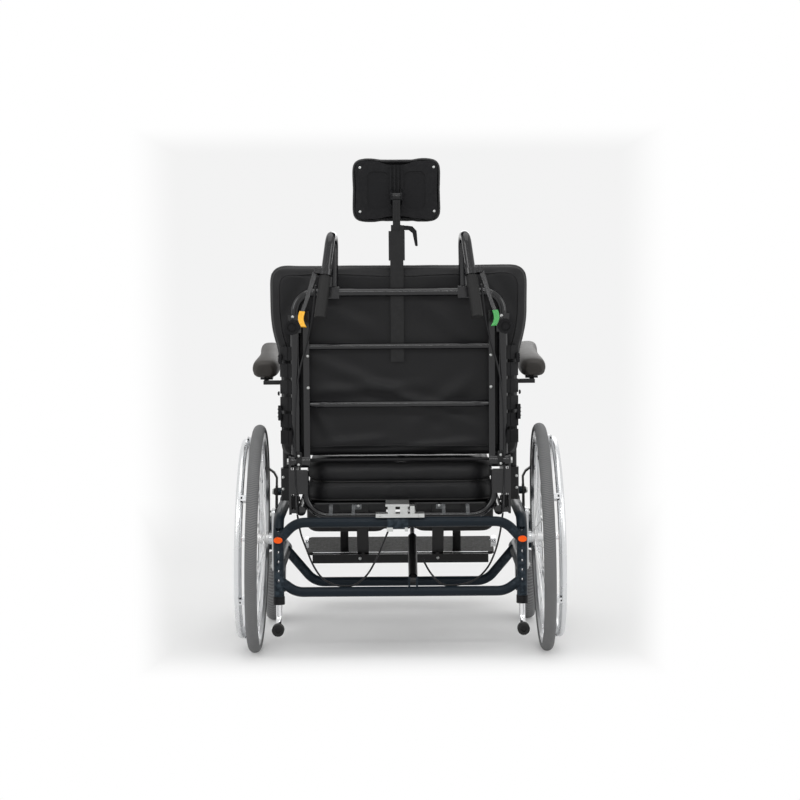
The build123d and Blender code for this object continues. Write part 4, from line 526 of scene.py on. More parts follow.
slotFinish = {part["node"]: part["material_slot"] for part in frame["record"]["subparts"]}
for nodeName, node in cadNodes.items():
    chosen = slotFinish[nodeName]
    hand = "left" if nodeName.endswith("left") else "right"
    if chosen in ("tyre", "caster_tyre"):
        chosen = ("tyre" if chosen == "tyre" else "caster") + hand
    if chosen in ("yellow_plastic", "green_plastic"):
        chosen = "lever" + hand
    if nodeName == "back_frame":
        chosen = "black_tube"
    for number in range(len(node.material_slots)):
        node.material_slots[number].material = finishes[chosen]
print("every node has its finish")


# ---- making pieces
def addPiece(name, bm, material, body, smooth=True):
    # the bmesh is used up
    bmesh.ops.recalc_face_normals(bm, faces=bm.faces)
    mesh = bpy.data.meshes.new(name)
    bm.to_mesh(mesh)
    bm.free()
    mesh.materials.append(finishes[material])
    for face in mesh.polygons:
        face.use_smooth = smooth
    piece = bpy.data.objects.new(name, mesh)
    scene.collection.objects.link(piece)
    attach(piece, body)
    return piece


sharpAngle = radians(40)


def addHardPiece(name, bm, material, body):
    # flat faces stay flat where they meet at more than the sharp angle
    piece = addPiece(name, bm, material, body)
    mesh = piece.data
    edgesBm = bmesh.new()
    edgesBm.from_mesh(mesh)
    for edge in edgesBm.edges:
        edge.smooth = len(edge.link_faces) == 2 and edge.calc_face_angle(0) < sharpAngle
    edgesBm.to_mesh(mesh)
    edgesBm.free()
    return piece


def bridgeRings(bm, rings, caps=True):
    made = [[bm.verts.new(point) for point in ring] for ring in rings]
    for ring, following in zip(made, made[1:]):
        count = len(ring)
        for number in range(count):
            after = (number + 1) % count
            bm.faces.new((ring[number], ring[after], following[after], following[number]))
    if caps:
        bm.faces.new(list(reversed(made[0])))
        bm.faces.new(made[-1])


def acrossOf(axis):
    # two directions square to an axis
    axis = Vector(axis).normalized()
    first = axis.cross(Vector((0, 0, 1)) if abs(axis.z) < 0.9 else Vector((0, 1, 0))).normalized()
    return axis, first, axis.cross(first).normalized()


def circleShares(steps):
    return [(cos(2 * pi * k / steps), sin(2 * pi * k / steps)) for k in range(steps)]


def turned(bm, centre, axis, profile, steps=16):
    # profile is (radius, how far along the axis) pairs
    axis, first, second = acrossOf(axis)
    rings = []
    for radius, along in profile:
        middle = Vector(centre) + axis * along
        rings.append([middle + (first * a + second * b) * max(radius, 1e-5) for a, b in circleShares(steps)])
    bridgeRings(bm, rings)


def tubeAlong(bm, points, radius, steps=10, closed=False):
    # a round tube that follows points, with a frame that never spins
    points = [Vector(point) for point in points]
    count = len(points)
    rings = []
    first = None
    for number, point in enumerate(points):
        before = points[number - 1] if number or closed else point
        after = points[(number + 1) % count] if number < count - 1 or closed else point
        along = (after - before).normalized()
        if first is None:
            first = acrossOf(along)[1]
        first = (first - along * first.dot(along)).normalized()
        second = along.cross(first)
        rings.append([point + (first * a + second * b) * radius for a, b in circleShares(steps)])
    if closed:
        rings.append(rings[0])
    bridgeRings(bm, rings, caps=not closed)
    if closed:
        bmesh.ops.remove_doubles(bm, verts=bm.verts, dist=1e-6)


# a strap's section: shares of half its width and half its thickness
strapSection = ((-1, -0.6), (-0.97, -1), (0.97, -1), (1, -0.6), (1, 0.6), (0.97, 1), (-0.97, 1), (-1, 0.6))


def flatStrap(bm, points, wide, thick):
    # a strap that lies along points; wide is the direction and size across it
    points = [Vector(point) for point in points]
    wide = Vector(wide)
    rings = []
    for number, point in enumerate(points):
        before = points[max(number - 1, 0)]
        after = points[min(number + 1, len(points) - 1)]
        along = (after - before).normalized()
        up = along.cross(wide).normalized() * thick / 2
        half = wide / 2
        rings.append([point + half * across + up * lift for across, lift in strapSection])
    bridgeRings(bm, rings)


def chamferedBlock(bm, low, high, edge):
    # a block between two corners with softened edges
    low, high = Vector(low), Vector(high)
    middle = (low + high) / 2
    made = bmesh.ops.create_cube(bm, size=1.0)["verts"]
    bmesh.ops.scale(bm, vec=high - low, verts=made)
    rims = list({edge for vertex in made for edge in vertex.link_edges})
    soft = bmesh.ops.bevel(bm, geom=rims, offset=edge, segments=2, affect="EDGES", profile=0.6)
    corners = {v for v in made if v.is_valid}
    made = list({vertex for face in soft["faces"] for vertex in face.verts} | corners)
    bmesh.ops.translate(bm, vec=middle, verts=made)


# bolt heads as turned pieces: shares of the radius and of the height, and how many sides
headProfiles = {
    "dome": ((((1, 0), (1, 0.35), (0.85, 0.75), (0.5, 1), (0.42, 1), (0.4, 0.5), (0, 0.5)), 20),),
    "hex": ((((1.15, 0), (1.15, 0.15)), 24), (((1, 0.1), (1, 0.9), (0.9, 1)), 6)),
}


def boltHead(bm, centre, axis, radius, high, kind):
    for profile, steps in headProfiles[kind]:
        turned(bm, centre, axis, [(radius * out, high * along) for out, along in profile], steps)


def applyModifiers(piece):
    bpy.context.view_layer.update()
    ready = piece.evaluated_get(bpy.context.evaluated_depsgraph_get())
    mesh = bpy.data.meshes.new_from_object(ready)
    piece.modifiers.clear()
    piece.data = mesh
    return mesh


def evenMesh(piece, size):
    remesh = piece.modifiers.new("evenMesh", "REMESH")
    remesh.mode = "VOXEL"
    remesh.voxel_size = size
    remesh.use_smooth_shade = True
    applyModifiers(piece)


def fillPad(piece, push, cap, stay=None):
    # cloth pressure fills the pad, and no point moves further than the cap; stay(point) is 1 where
    # it is held; the cover's edge is sewn to its size, so it draws in only a little
    mesh = piece.data
    start = [vertex.co.copy() for vertex in mesh.vertices]
    normals = [vertex.normal.copy() for vertex in mesh.vertices]
    cloth = piece.modifiers.new("filling", "CLOTH")
    settings = cloth.settings
    settings.quality = 4
    settings.mass = 0.3
    settings.use_pressure = True
    settings.uniform_pressure_force = push
    settings.effector_weights.gravity = 0
    settings.tension_stiffness = 12
    settings.bending_stiffness = 0.4
    cloth.collision_settings.use_self_collision = False
    cloth.point_cache.frame_start = 1
    cloth.point_cache.frame_end = 20
    for number in range(1, 21):
        scene.frame_set(number)
    ready = piece.evaluated_get(bpy.context.evaluated_depsgraph_get())
    filled = [vertex.co.copy() for vertex in ready.data.vertices]
    piece.modifiers.clear()
    scene.frame_set(1)
    for vertex, before, after, normal in zip(mesh.vertices, start, filled, normals):
        move = after - before
        if move.length > cap:
            move *= cap / move.length
        outward = move.dot(normal)
        move = (move - normal * outward) * 0.3 + normal * outward * (1.0 if outward > 0 else 0.15)
        if stay is not None:
            move *= 1 - stay(before)
        vertex.co = before + move
    mesh.update()


def softenPad(piece, rounds):
    smoother = piece.modifiers.new("soften", "SMOOTH")
    smoother.factor = 0.5
    smoother.iterations = rounds
    applyModifiers(piece)


def newPad(name, bm, material, body, look, stay=None):
    # an even, softened skin, filled by its pressure
    pad = addPiece(name, bm, material, body)
    evenMesh(pad, look["voxel"])
    softenPad(pad, look["rounds"])
    fillPad(pad, look["push"], look["fill"], stay)
    return pad


def finishPad(piece, material, rule):
    # rule gives a point's new place from its place and its outward direction
    mesh = piece.data
    normals = [vertex.normal.copy() for vertex in mesh.vertices]
    for vertex, normal in zip(mesh.vertices, normals):
        vertex.co = rule(vertex.co.copy(), normal)
    mesh.update()
    subdivide = piece.modifiers.new("finer", "SUBSURF")
    subdivide.levels = subdivide.render_levels = 1
    applyModifiers(piece)
    piece.data.materials.clear()
    piece.data.materials.append(finishes[material])
    for face in piece.data.polygons:
        face.use_smooth = True


def evenPlaces(lengths, count):
    # for an even spacing along a closed path: the corner before each point, and its share of the way on
    places = []
    for number in range(count):
        wanted = lengths[-1] * number / count
        place = max(k for k in range(len(lengths) - 1) if lengths[k] <= wanted)
        span = lengths[place + 1] - lengths[place]
        places.append((place, (wanted - lengths[place]) / span if span else 0))
    return places


def roundedRing(halfWide, halfDeep, corner, count=112):
    # points round a rectangle with rounded corners, evenly by angle of each quarter
    corner = min(corner, halfWide * 0.98, halfDeep * 0.98)
    points = []
    straightX, straightY = halfWide - corner, halfDeep - corner
    path = []
    for quarter, (signX, signY) in enumerate(((1, 1), (-1, 1), (-1, -1), (1, -1))):
        for step in range(9):
            angle = radians(quarter * 90 + step * 90 / 8)
            path.append((signX * straightX + corner * cos(angle), signY * straightY + corner * sin(angle)))
    lengths = [0.0]
    for number in range(len(path)):
        ahead = path[(number + 1) % len(path)]
        across, along = ahead[0] - path[number][0], ahead[1] - path[number][1]
        lengths.append(lengths[-1] + sqrt(across ** 2 + along ** 2))
    for place, share in evenPlaces(lengths, count):
        here, ahead = path[place], path[(place + 1) % len(path)]
        points.append((here[0] + (ahead[0] - here[0]) * share, here[1] + (ahead[1] - here[1]) * share))
    return points


def crossLoop(piece, point, normal):
    # the outline where a plane cuts a closed pad, as points in order
    cutBm = bmesh.new()
    cutBm.from_mesh(piece.data)
    cut = bmesh.ops.bisect_plane(cutBm, geom=cutBm.verts[:] + cutBm.edges[:] + cutBm.faces[:],
                                 plane_co=Vector(point), plane_no=Vector(normal))["geom_cut"]
    edges = [item for item in cut if isinstance(item, bmesh.types.BMEdge)]
    nextTo = {}
    for edge in edges:
        for vertex in edge.verts:
            nextTo.setdefault(vertex, []).append(edge.other_vert(vertex))
    loops = []
    left = set(nextTo)
    while left:
        start = min(left, key=lambda v: tuple(v.co))
        loop = [start]
        left.discard(start)
        while True:
            onward = [v for v in nextTo[loop[-1]] if v in left]
            if not onward:
                break
            onward = min(onward, key=lambda v: tuple(v.co))
            loop.append(onward)
            left.discard(onward)
        loops.append([v.co.copy() for v in loop])
    cutBm.free()
    return max(loops, key=len)


def thinLoop(points, spacing):
    # points along a closed loop at an even spacing, evened out twice
    kept = [points[0]]
    for point in points[1:]:
        if (point - kept[-1]).length >= spacing:
            kept.append(point)
    for _ in range(2):
        kept = [(kept[k - 1] + kept[k] * 2 + kept[(k + 1) % len(kept)]) / 4 for k in range(len(kept))]
    return kept


def bellAt(value, middle, width):
    return exp(-(((value - middle) / width) ** 2))


def smoothStep(low, high, value):
    share = min(1, max(0, (value - low) / (high - low)))
    return share * share * (3 - 2 * share)


# ---- seat cushion: two layers with piping round both seams
seatPad = {
    "halfWide": 0.250, "halfDeep": 0.228, "middleY": -0.046, "corner": 0.068,
    "low": 0.4025, "seam": 0.4575, "top": 0.5155, "voxel": 0.0065, "rounds": 3, "push": 4.0,
    "fill": 0.024, "piping": 0.0028,
    # the seam is drawn in: how far and how wide
    "seamDraw": (0.0075, 0.005),
    # the dish where one sits: its middle, half its width and length, and its depth
    "dish": (-0.03, 0.19, 0.17, 0.007),
    # creases over the seam: how close, how far above, how wide and how deep; and the fine ripple
    "crease": (34, 0.018, 0.014, 0.0012), "ripple": 0.0012,
    "limitX": 0.2565, "limitY": (-0.2805, 0.1885), "limitZ": 0.5235,
}


def makeSeatPad(look):
    bm = bmesh.new()
    seam = look["seam"]
    low, top = look["low"], look["top"]
    levels = (
        (0.03, low), (0.006, low + 0.001), (0.0, low + 0.012), (-0.002, low + 0.03), (0.002, seam - 0.008),
        (0.007, seam), (0.002, seam + 0.009), (-0.002, seam + 0.024), (0.004, top - 0.016),
        (0.016, top - 0.005), (0.05, top), (0.12, top + 0.001),
    )
    rings = []
    for inset, high in levels:
        corner = look["corner"] - min(inset, 0.04)
        ring = roundedRing(look["halfWide"] - inset, look["halfDeep"] - inset, corner)
        rings.append([Vector((x, look["middleY"] + y, high)) for x, y in ring])
    bridgeRings(bm, rings)
    pad = newPad("seatCushionPad", bm, "upholstery", "seat", look,
                 stay=lambda point: smoothStep(0.012, 0.002, point.z - low))

    def settle(point, outward):
        crown = smoothStep(seam + 0.03, top, point.z)
        flat = Vector((point.x, point.y - look["middleY"], 0))
        inward = -flat.normalized()
        drawn, wide = look["seamDraw"]
        point = point + inward * drawn * bellAt(point.z, seam, wide)
        dishY, across, along, deep = look["dish"]
        dish = exp(-((point.x / across) ** 2 + ((point.y - dishY) / along) ** 2))
        point.z -= crown * dish * deep
        ripple = noise.noise(Vector((point.x * 11, point.y * 11, point.z * 18)))
        point = point + outward * look["ripple"] * ripple
        close, above, wide, deep = look["crease"]
        sag = sin(point.x * close + 1.2) * bellAt(point.z, seam + above, wide)
        point.y -= deep * sag * (1 if point.y < look["middleY"] else -1)
        point.x = max(-look["limitX"], min(look["limitX"], point.x))
        point.y = max(look["limitY"][0], min(look["limitY"][1], point.y))
        point.z = max(low - 0.0002, min(look["limitZ"], point.z))
        return point

    finishPad(pad, "upholstery", settle)
    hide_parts("seat_cushion")
    cords = bmesh.new()
    for high, out in ((seam, 0.0012), (low + 0.006, 0.0004)):
        loop = thinLoop(crossLoop(pad, (0, 0, high), (0, 0, 1)), 0.008)
        centre = Vector((0, look["middleY"], high))
        line = [p + (p - centre).normalized() * out for p in loop]
        tubeAlong(cords, line, look["piping"], 8, closed=True)
    piping = addPiece("seatCushionPiping", cords, "piping", "seat")
    piping.parent = pad
    return pad


seatCushion = makeSeatPad(seatPad)
print("seat cushion made:", len(seatCushion.data.polygons), "faces")

# ---- back cushion: a wide cover, drawn diagonally behind, with bolsters in front
backPad = {
    "low": 0.524, "wing": 0.782, "shoulder": 0.872, "high": 1.036, "lowHalf": 0.318, "highHalf": 0.344,
    "rear": -0.2695, "front": -0.197, "voxel": 0.0068, "rounds": 3, "push": 4.0, "fill": 0.022,
    "weltInset": 0.016, "welt": 0.0022,
    # behind: slack between the folds, and the hem's line: how far up, how wide and how deep
    "slack": 0.0016, "hemLine": (0.026, 0.003, 0.0022),
    # in front: the channels up beside the middle and across it, the hollow between and the bolsters' crown
    "upChannel": (0.212, 0.007), "crossChannels": ((0.70, 0.006), (0.865, 0.006)), "channelDeep": 0.011,
    "hollow": (0.010, 0.13), "bolster": (0.004, 0.27, 0.03),
    # the seam round the side: how far forward, how wide and how deep; and the fine ripple
    "sideSeam": (0.014, 0.0035, 0.0035), "ripple": 0.0010,
    # the headrest's plate: its middle, where it ends across and below
    "plate": (-0.004, (0.045, 0.028), (0.765, 0.785)),
    # behind, the cover rests against the frame, and stops short of it and of the headrest's plate
    "rearRest": -0.2735, "rearLimit": -0.2788, "plateLimit": -0.2742,
    "frontLimit": -0.186, "limitX": 0.356, "limitZ": (0.5215, 1.047),
    # the rolled hem: how far in, its line and radius
    "hemInset": 0.058, "hem": (-0.2765, 0.5175), "hemRadius": 0.0042,
}
# slack folds of the rear cover: from x, z to x, z, how wide and how deep
coverFolds = (
    ((-0.235, 0.79), (0.24, 0.585), 0.020, 0.0052), ((-0.24, 0.70), (0.06, 0.715), 0.016, 0.0040),
    ((0.03, 0.60), (0.20, 0.74), 0.024, 0.0040), ((-0.20, 0.56), (-0.03, 0.575), 0.014, 0.0046),
    ((0.21, 0.83), (0.05, 0.94), 0.026, 0.0036), ((-0.23, 0.93), (-0.06, 0.86), 0.024, 0.0034),
    ((0.02, 0.545), (0.21, 0.565), 0.014, 0.0044), ((-0.22, 0.66), (-0.17, 0.56), 0.018, 0.0040),
    ((-0.30, 0.86), (-0.22, 1.00), 0.018, 0.0034), ((0.30, 0.88), (0.23, 1.00), 0.018, 0.0034),
)


def backOutline(look, share, count=150):
    # share draws the outline in towards the middle
    corners = (
        (-look["lowHalf"], look["low"], 0.03), (look["lowHalf"], look["low"], 0.03),
        (look["lowHalf"], look["wing"], 0.05), (look["highHalf"], look["shoulder"], 0.05),
        (look["highHalf"], look["high"], 0.045), (-look["highHalf"], look["high"], 0.045),
        (-look["highHalf"], look["shoulder"], 0.05), (-look["lowHalf"], look["wing"], 0.05),
    )
    path = []
    for number, (x, z, radius) in enumerate(corners):
        here = Vector((x, z))
        before = Vector(corners[number - 1][:2])
        after = Vector(corners[(number + 1) % len(corners)][:2])
        start = here + (before - here).normalized() * min(radius, (before - here).length * 0.45)
        end = here + (after - here).normalized() * min(radius, (after - here).length * 0.45)
        for step in range(9):
            t = step / 8
            path.append(start * (1 - t) ** 2 + here * 2 * t * (1 - t) + end * t * t)
    total = [0.0]
    for number in range(len(path)):
        total.append(total[-1] + (path[(number + 1) % len(path)] - path[number]).length)
    middle = Vector((0, (look["low"] + look["high"]) / 2))
    ring = []
    for place, t in evenPlaces(total, count):
        point = path[place] * (1 - t) + path[(place + 1) % len(path)] * t
        inward = middle - point
        ring.append(point + inward.normalized() * min(share, inward.length * 0.9))
    return ring


def makeBackPad(look):
    bm = bmesh.new()
    rear, front = look["rear"], look["front"]
    levels = (
        (0.20, rear + 0.001), (0.06, rear), (0.022, rear + 0.001), (0.006, rear + 0.008),
        (0.0, rear + 0.02), (-0.001, (rear + front) / 2), (0.002, front - 0.02), (0.012, front - 0.006),
        (0.04, front), (0.2, front),
    )
    rings = [[Vector((p.x, y, p.y)) for p in backOutline(look, share)] for share, y in levels]
    bridgeRings(bm, rings)
    pad = newPad("backCushionPad", bm, "upholstery", "backrest", look)
    foldLines = [(Vector(a), Vector(b), w, d) for a, b, w, d in coverFolds]

    def drape(point, outward):
        rearFace = smoothStep(-0.35, -0.85, outward.y)
        frontFace = smoothStep(0.35, 0.85, outward.y)
        flat = Vector((point.x, point.z))
        if rearFace > 0:
            point.y = max(look["rearRest"], point.y)
            push = 0.0
            for start, end, width, deep in foldLines:
                along = end - start
                t = (flat - start).dot(along) / along.length_squared
                ease = smoothStep(-0.15, 0.25, t) * smoothStep(1.15, 0.7, t)
                near = (flat - start - along * t).length
                beside = exp(-(((near - width * 1.3) / width) ** 2))
                push += ease * deep * (exp(-((near / width) ** 2)) - 0.55 * beside)
            push += look["slack"] * noise.noise(Vector((point.x * 7 + point.z * 5, point.z * 9, 2.0)))
            above, wide, deep = look["hemLine"]
            hem = bellAt(point.z, look["low"] + above, wide) * deep
            point.y -= rearFace * (push - hem)
        if frontFace > 0:
            beside = abs(point.x)
            crossing = sum(bellAt(point.z, *channel) for channel in look["crossChannels"])
            crossing *= smoothStep(0.215, 0.2, beside)
            deep, wide = look["hollow"]
            hollow = deep * exp(-((point.x / wide) ** 2)) * smoothStep(0.56, 0.70, point.z)
            channel = look["channelDeep"] * max(bellAt(beside, *look["upChannel"]), crossing)
            point.y -= frontFace * (channel + hollow)
            deep, place, wide = look["bolster"]
            point.y += frontFace * deep * bellAt(beside, place, wide)
        forward, wide, deep = look["sideSeam"]
        seamLine = bellAt(point.y, look["rear"] + forward, wide) * (1 - rearFace) * (1 - frontFace)
        point = point - outward * deep * seamLine
        point = point + outward * look["ripple"] * noise.noise(point * 16)
        plateX, across, up = look["plate"]
        onPlate = smoothStep(*across, abs(point.x - plateX)) * smoothStep(*up, point.z)
        limit = look["rearLimit"] + (look["plateLimit"] - look["rearLimit"]) * onPlate
        point.y = max(limit, min(look["frontLimit"], point.y))
        point.z = max(look["limitZ"][0], min(look["limitZ"][1], point.z))
        point.x = max(-look["limitX"], min(look["limitX"], point.x))
        return point

    finishPad(pad, "upholstery", drape)
    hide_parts("back_cushion")
    # a welt inside the rear face's edge, and the rolled hem below it
    cords = bmesh.new()
    line = backOutline(look, look["weltInset"])
    edge = [pad.closest_point_on_mesh(Vector((p.x, rear - 0.03, p.y)))[1] for p in line]
    tubeAlong(cords, thinLoop(edge, 0.006), look["welt"], 8, closed=True)
    halfHem = look["lowHalf"] - look["hemInset"]
    hemY, hemZ = look["hem"]
    hem = [(halfHem * (step - 12) / 12, hemY + 0.0008 * sin(step * 1.9), hemZ) for step in range(25)]
    tubeAlong(cords, hem, look["hemRadius"], 10)
    welts = addPiece("backCushionWelts", cords, "upholstery", "backrest")
    welts.parent = pad
    return pad


backCushion = makeBackPad(backPad)
print("back cushion made:", len(backCushion.data.polygons), "faces")

# ---- headrest pad: a bow tie whose cover rolls over the shell's edge
headPad = {
    "middle": (-0.004, 1.233), "half": (0.117, 0.084), "rear": -0.2315, "seat": -0.2229, "front": -0.1775,
    "voxel": 0.0036, "rounds": 2, "push": 4.0, "fill": 0.009, "frontLimit": -0.1712,
    # the outline: how square, the waist's width and depths above and below, and the sides' draw
    "power": 0.30, "waist": (0.042, 0.013, 0.009), "sideDraw": (0.003, 0.05),
    # the seam: how far forward, how wide and deep; the hollow for the head; the fine ripple
    "seam": (0.019, 0.0024, 0.0028), "hollow": (0.010, 0.05), "ripple": 0.0006,
}


def bowTie(look, inset, count=110):
    halfWide, halfHigh = look["half"]
    halfWide, halfHigh = halfWide - inset, halfHigh - inset
    power = look["power"]
    wide, above, below = look["waist"]
    drawn, high = look["sideDraw"]
    points = []
    for number in range(count):
        angle = 2 * pi * number / count
        x = halfWide * abs(cos(angle)) ** power * (1 if cos(angle) >= 0 else -1)
        z = halfHigh * abs(sin(angle)) ** power * (1 if sin(angle) >= 0 else -1)
        z -= bellAt(x, 0, wide) * (above if z > 0 else -below) * min(1, abs(z) / 0.05)
        x -= drawn * bellAt(z, 0, high) * (1 if x > 0 else -1)
        points.append((look["middle"][0] + x, look["middle"][1] + z))
    return points


def makeHeadPad(look):
    bm = bmesh.new()
    rear, seatY, front = look["rear"], look["seat"], look["front"]
    levels = (
        (0.05, seatY), (0.0062, seatY), (0.0058, rear + 0.004), (0.0035, rear), (0.0005, rear + 0.002),
        (-0.002, rear + 0.01), (-0.0025, rear + 0.02), (0.0, front - 0.018), (0.006, front - 0.008),
        (0.018, front - 0.002), (0.05, front),
    )
    bridgeRings(bm, [[Vector((x, y, z)) for x, z in bowTie(look, inset)] for inset, y in levels])
    pad = newPad("headrestPadCover", bm, "upholstery", "headrest", look,
                 stay=lambda point: smoothStep(front - 0.03, rear + 0.012, point.y))

    def shape(point, outward):
        side = 1 - smoothStep(0.3, 0.8, abs(outward.y))
        forward, wide, deep = look["seam"]
        point = point - outward * deep * side * bellAt(point.y, rear + forward, wide)
        frontFace = smoothStep(0.2, 0.9, outward.y)
        deep, wide = look["hollow"]
        point.y -= frontFace * deep * bellAt(point.x, look["middle"][0], wide)
        point = point + outward * look["ripple"] * noise.noise(point * 30)
        point.y = max(rear - 0.0005, min(look["frontLimit"], point.y))
        return point

    finishPad(pad, "upholstery", shape)
    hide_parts("headrest_pad")


makeHeadPad(headPad)

# ---- arm pads: a moulded skin that narrows and climbs forward
armPad = {
    "x": 0.363, "rear": -0.185, "length": 0.334, "low": 0.7272, "rise": tan(radians(7.5)),
    "voxel": 0.0046, "rounds": 3, "push": 3.0, "fill": 0.006,
    # width and thickness behind and what goes off forward, the waist, the bow inward and the crown
    "wide": (0.078, 0.016), "thick": (0.05, 0.006), "waist": 0.006, "bow": 0.008, "crown": 0.0025,
    # the seam: how far up, how wide and deep
    "seam": (0.017, 0.0016, 0.0014),
}


def makeArmPad(look, side, hand):
    bm = bmesh.new()
    rings = []
    for number in range(25):
        share = number / 24
        ends = 1 - (1 - sqrt(max(0, 1 - abs(2 * share - 1) ** 8))) * 0.42
        width = (look["wide"][0] - look["wide"][1] * share - look["waist"] * sin(share * pi)) * ends
        thick = (look["thick"][0] - look["thick"][1] * share) * ends
        drawnIn = (0.04 * (1 - 0.3 * share)) * (1 - ends) / 2
        base = look["low"] + look["rise"] * share * look["length"] + drawnIn
        middle = side * (look["x"] - look["bow"] * sin(share * pi))
        ring = []
        for x, z in roundedRing(width / 2, thick / 2, thick * 0.42, 44):
            crown = look["crown"] * (1 - (2 * x / width) ** 2) if z > 0 else 0
            along = look["rear"] + share * look["length"]
            ring.append(Vector((middle + x, along, base + thick / 2 + z + crown)))
        rings.append(ring)
    bridgeRings(bm, rings)
    pad = newPad("armrestPadSkin." + hand, bm, "arm_pad", "armrest_" + hand, look,
                 stay=lambda point: smoothStep(
                     0.012, 0.003, point.z - look["low"] - look["rise"] * (point.y - look["rear"])))

    def shape(point, outward):
        share = (point.y - look["rear"]) / look["length"]
        floor = look["low"] + look["rise"] * share * look["length"]
        above, wide, deep = look["seam"]
        seam = bellAt(point.z, floor + above, wide) * (1 - smoothStep(0.4, 0.9, abs(outward.z)))
        point = point - outward * deep * seam
        point.z = max(floor - 0.0001, point.z)
        return point

    finishPad(pad, "arm_pad", shape)
    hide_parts("armrest_pad_" + hand)


for side, hand in sides:
    makeArmPad(armPad, side, hand)

# the post, its elbow and the sloped bearer, kept up under the pad
armPost = {
    "foot": (0.306, -0.166, 0.405), "tube": ((0.0095, 0), (0.011, 0.002), (0.011, 0.309), (0.0095, 0.311)),
    "elbow": ((0.295, 0.367), (-0.177, -0.155), (0.7125, 0.7235)), "elbowEdge": 0.002, "bearerX": 0.359,
    # along the pad, below its underside, width and thickness
    "bearers": (((-0.155, -0.03, 0.099), 0.0034, 0.034, 0.0055),
                ((-0.172, -0.06, 0.075), 0.0068, 0.012, 0.007)),
}


def makeArmPosts(look, padLook):
    for side, hand in sides:
        bm = bmesh.new()
        x, y, z = look["foot"]
        turned(bm, (side * x, y, z), (0, 0, 1), look["tube"], 28)
        across, along, up = look["elbow"]
        low, high = sorted((side * across[0], side * across[1]))
        chamferedBlock(bm, (low, along[0], up[0]), (high, along[1], up[1]), look["elbowEdge"])
        for places, below, width, thick in look["bearers"]:
            x = side * look["bearerX"]
            low, rise, rear = padLook["low"], padLook["rise"], padLook["rear"]
            path = [(x, y, low + rise * (y - rear) - below) for y in places]
            flatStrap(bm, path, (width, 0, 0), thick)
        post = addHardPiece("armPost." + hand, bm, "black_paint", "armrest_" + hand)
        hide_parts("armrest_post_" + hand)


makeArmPosts(armPost, armPad)

# ---- calf pads on the shins' plane
knee, ankle = Vector((0, 0.201, 0.385)), Vector((0, 0.421, 0.162))
shin = (ankle - knee).normalized()
shinFront = Vector((1, 0, 0)).cross(shin)
if shinFront.y < 0:
    shinFront.negate()
calfPad = {
    "along": 0.134, "off": 0.0075, "x": 0.157, "half": (0.119, 0.083), "thick": 0.039, "corner": 0.03,
    "voxel": 0.0052, "rounds": 2, "push": 4.0, "fill": 0.008,
    # the seam: how far up, how wide and deep; the channels across and along, how deep and wide; the ripple
    "seam": (0.013, 0.003, 0.003), "crossChannel": (0.004, 0.006), "longChannel": (0.003, 0.05),
    "ripple": 0.0008,
}


def onShin(x, along, off):
    return knee + shin * along + shinFront * off + Vector((x, 0, 0))


def makeCalfPads(look):
    bm = bmesh.new()
    for side in (-1, 1):
        levels = (
            (0.03, 0.0), (0.008, 0.0), (0.002, 0.005), (0.0, 0.014), (0.002, 0.024), (0.01, 0.034),
            (0.03, look["thick"]),
        )
        rings = []
        for inset, off in levels:
            ring = roundedRing(look["half"][0] - inset, look["half"][1] - inset, look["corner"], 90)
            middle, along, out = side * look["x"], look["along"], look["off"] + off
            rings.append([onShin(middle + x, along + y, out) for x, y in ring])
        bridgeRings(bm, rings)
    pad = newPad("calfPadCovers", bm, "upholstery", "legrest", look, stay=lambda point: smoothStep(
        look["off"] + 0.012, look["off"] + 0.002, (point - knee).dot(shinFront)))

    def shape(point, outward):
        off = (point - knee).dot(shinFront)
        along = (point - knee).dot(shin) - look["along"]
        across = abs(point.x) - look["x"]
        above, wide, deep = look["seam"]
        point = point - outward * deep * bellAt(off, look["off"] + above, wide)
        front = smoothStep(0.3, 0.9, outward.dot(shinFront))
        (crossDeep, crossWide), (longDeep, longWide) = look["crossChannel"], look["longChannel"]
        channels = crossDeep * bellAt(along, 0, crossWide) + longDeep * bellAt(across, 0, longWide)
        point = point - shinFront * front * channels
        point = point + outward * look["ripple"] * noise.noise(point * 22)
        low = look["off"] - (point - knee).dot(shinFront)
        if low > 0:
            point = point + shinFront * low
        return point

    finishPad(pad, "upholstery", shape)
    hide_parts("calf_pads")


makeCalfPads(calfPad)
print("small pads made")

# ---- webbing straps from the posts to the cushion's rear edge, with their buckles
strapLook = {
    "low": 0.560, "pitch": 0.04467, "high": 0.038, "thick": 0.0024, "count": 6,
    "post": (0.2845, -0.3032), "cushion": (0.0310, 0.0302), "bow": 0.0035, "sag": 0.0012,
    # the strap's sewn-over end lies on itself
    "fold": (4, 10), "foldOff": 0.0021, "foldThick": 0.0016,
}


def makeBackStraps(look):
    bm = bmesh.new()
    ends = bmesh.new()
    (postX, postY), (wide, deep) = look["post"], look["cushion"]
    for side in (-1, 1):
        for number in range(look["count"]):
            z = look["low"] + number * look["pitch"] + look["high"] / 2
            sag = look["sag"] * sin(number * 2.1 + side)
            points = []
            for step in range(13):
                t = step / 12
                y = postY + deep * t - look["bow"] * sin(pi * t) + sag * sin(2 * pi * t)
                points.append((side * (postX + wide * t), y, z))
            flatStrap(bm, points, (0, 0, look["high"] - 0.002), look["thick"])
            first, last = look["fold"]
            fold = [(x, y - look["foldOff"], z) for x, y, z in points[first:last]]
            flatStrap(ends, fold, (0, 0, look["high"] - 0.003), look["foldThick"])
    straps = addPiece("backStrapWebbing", bm, "webbing", "backrest", smooth=False)
    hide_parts("back_straps")
    folds = addPiece("backStrapEnds", ends, "webbing", "backrest", smooth=False)
    folds.parent = straps


makeBackStraps(strapLook)

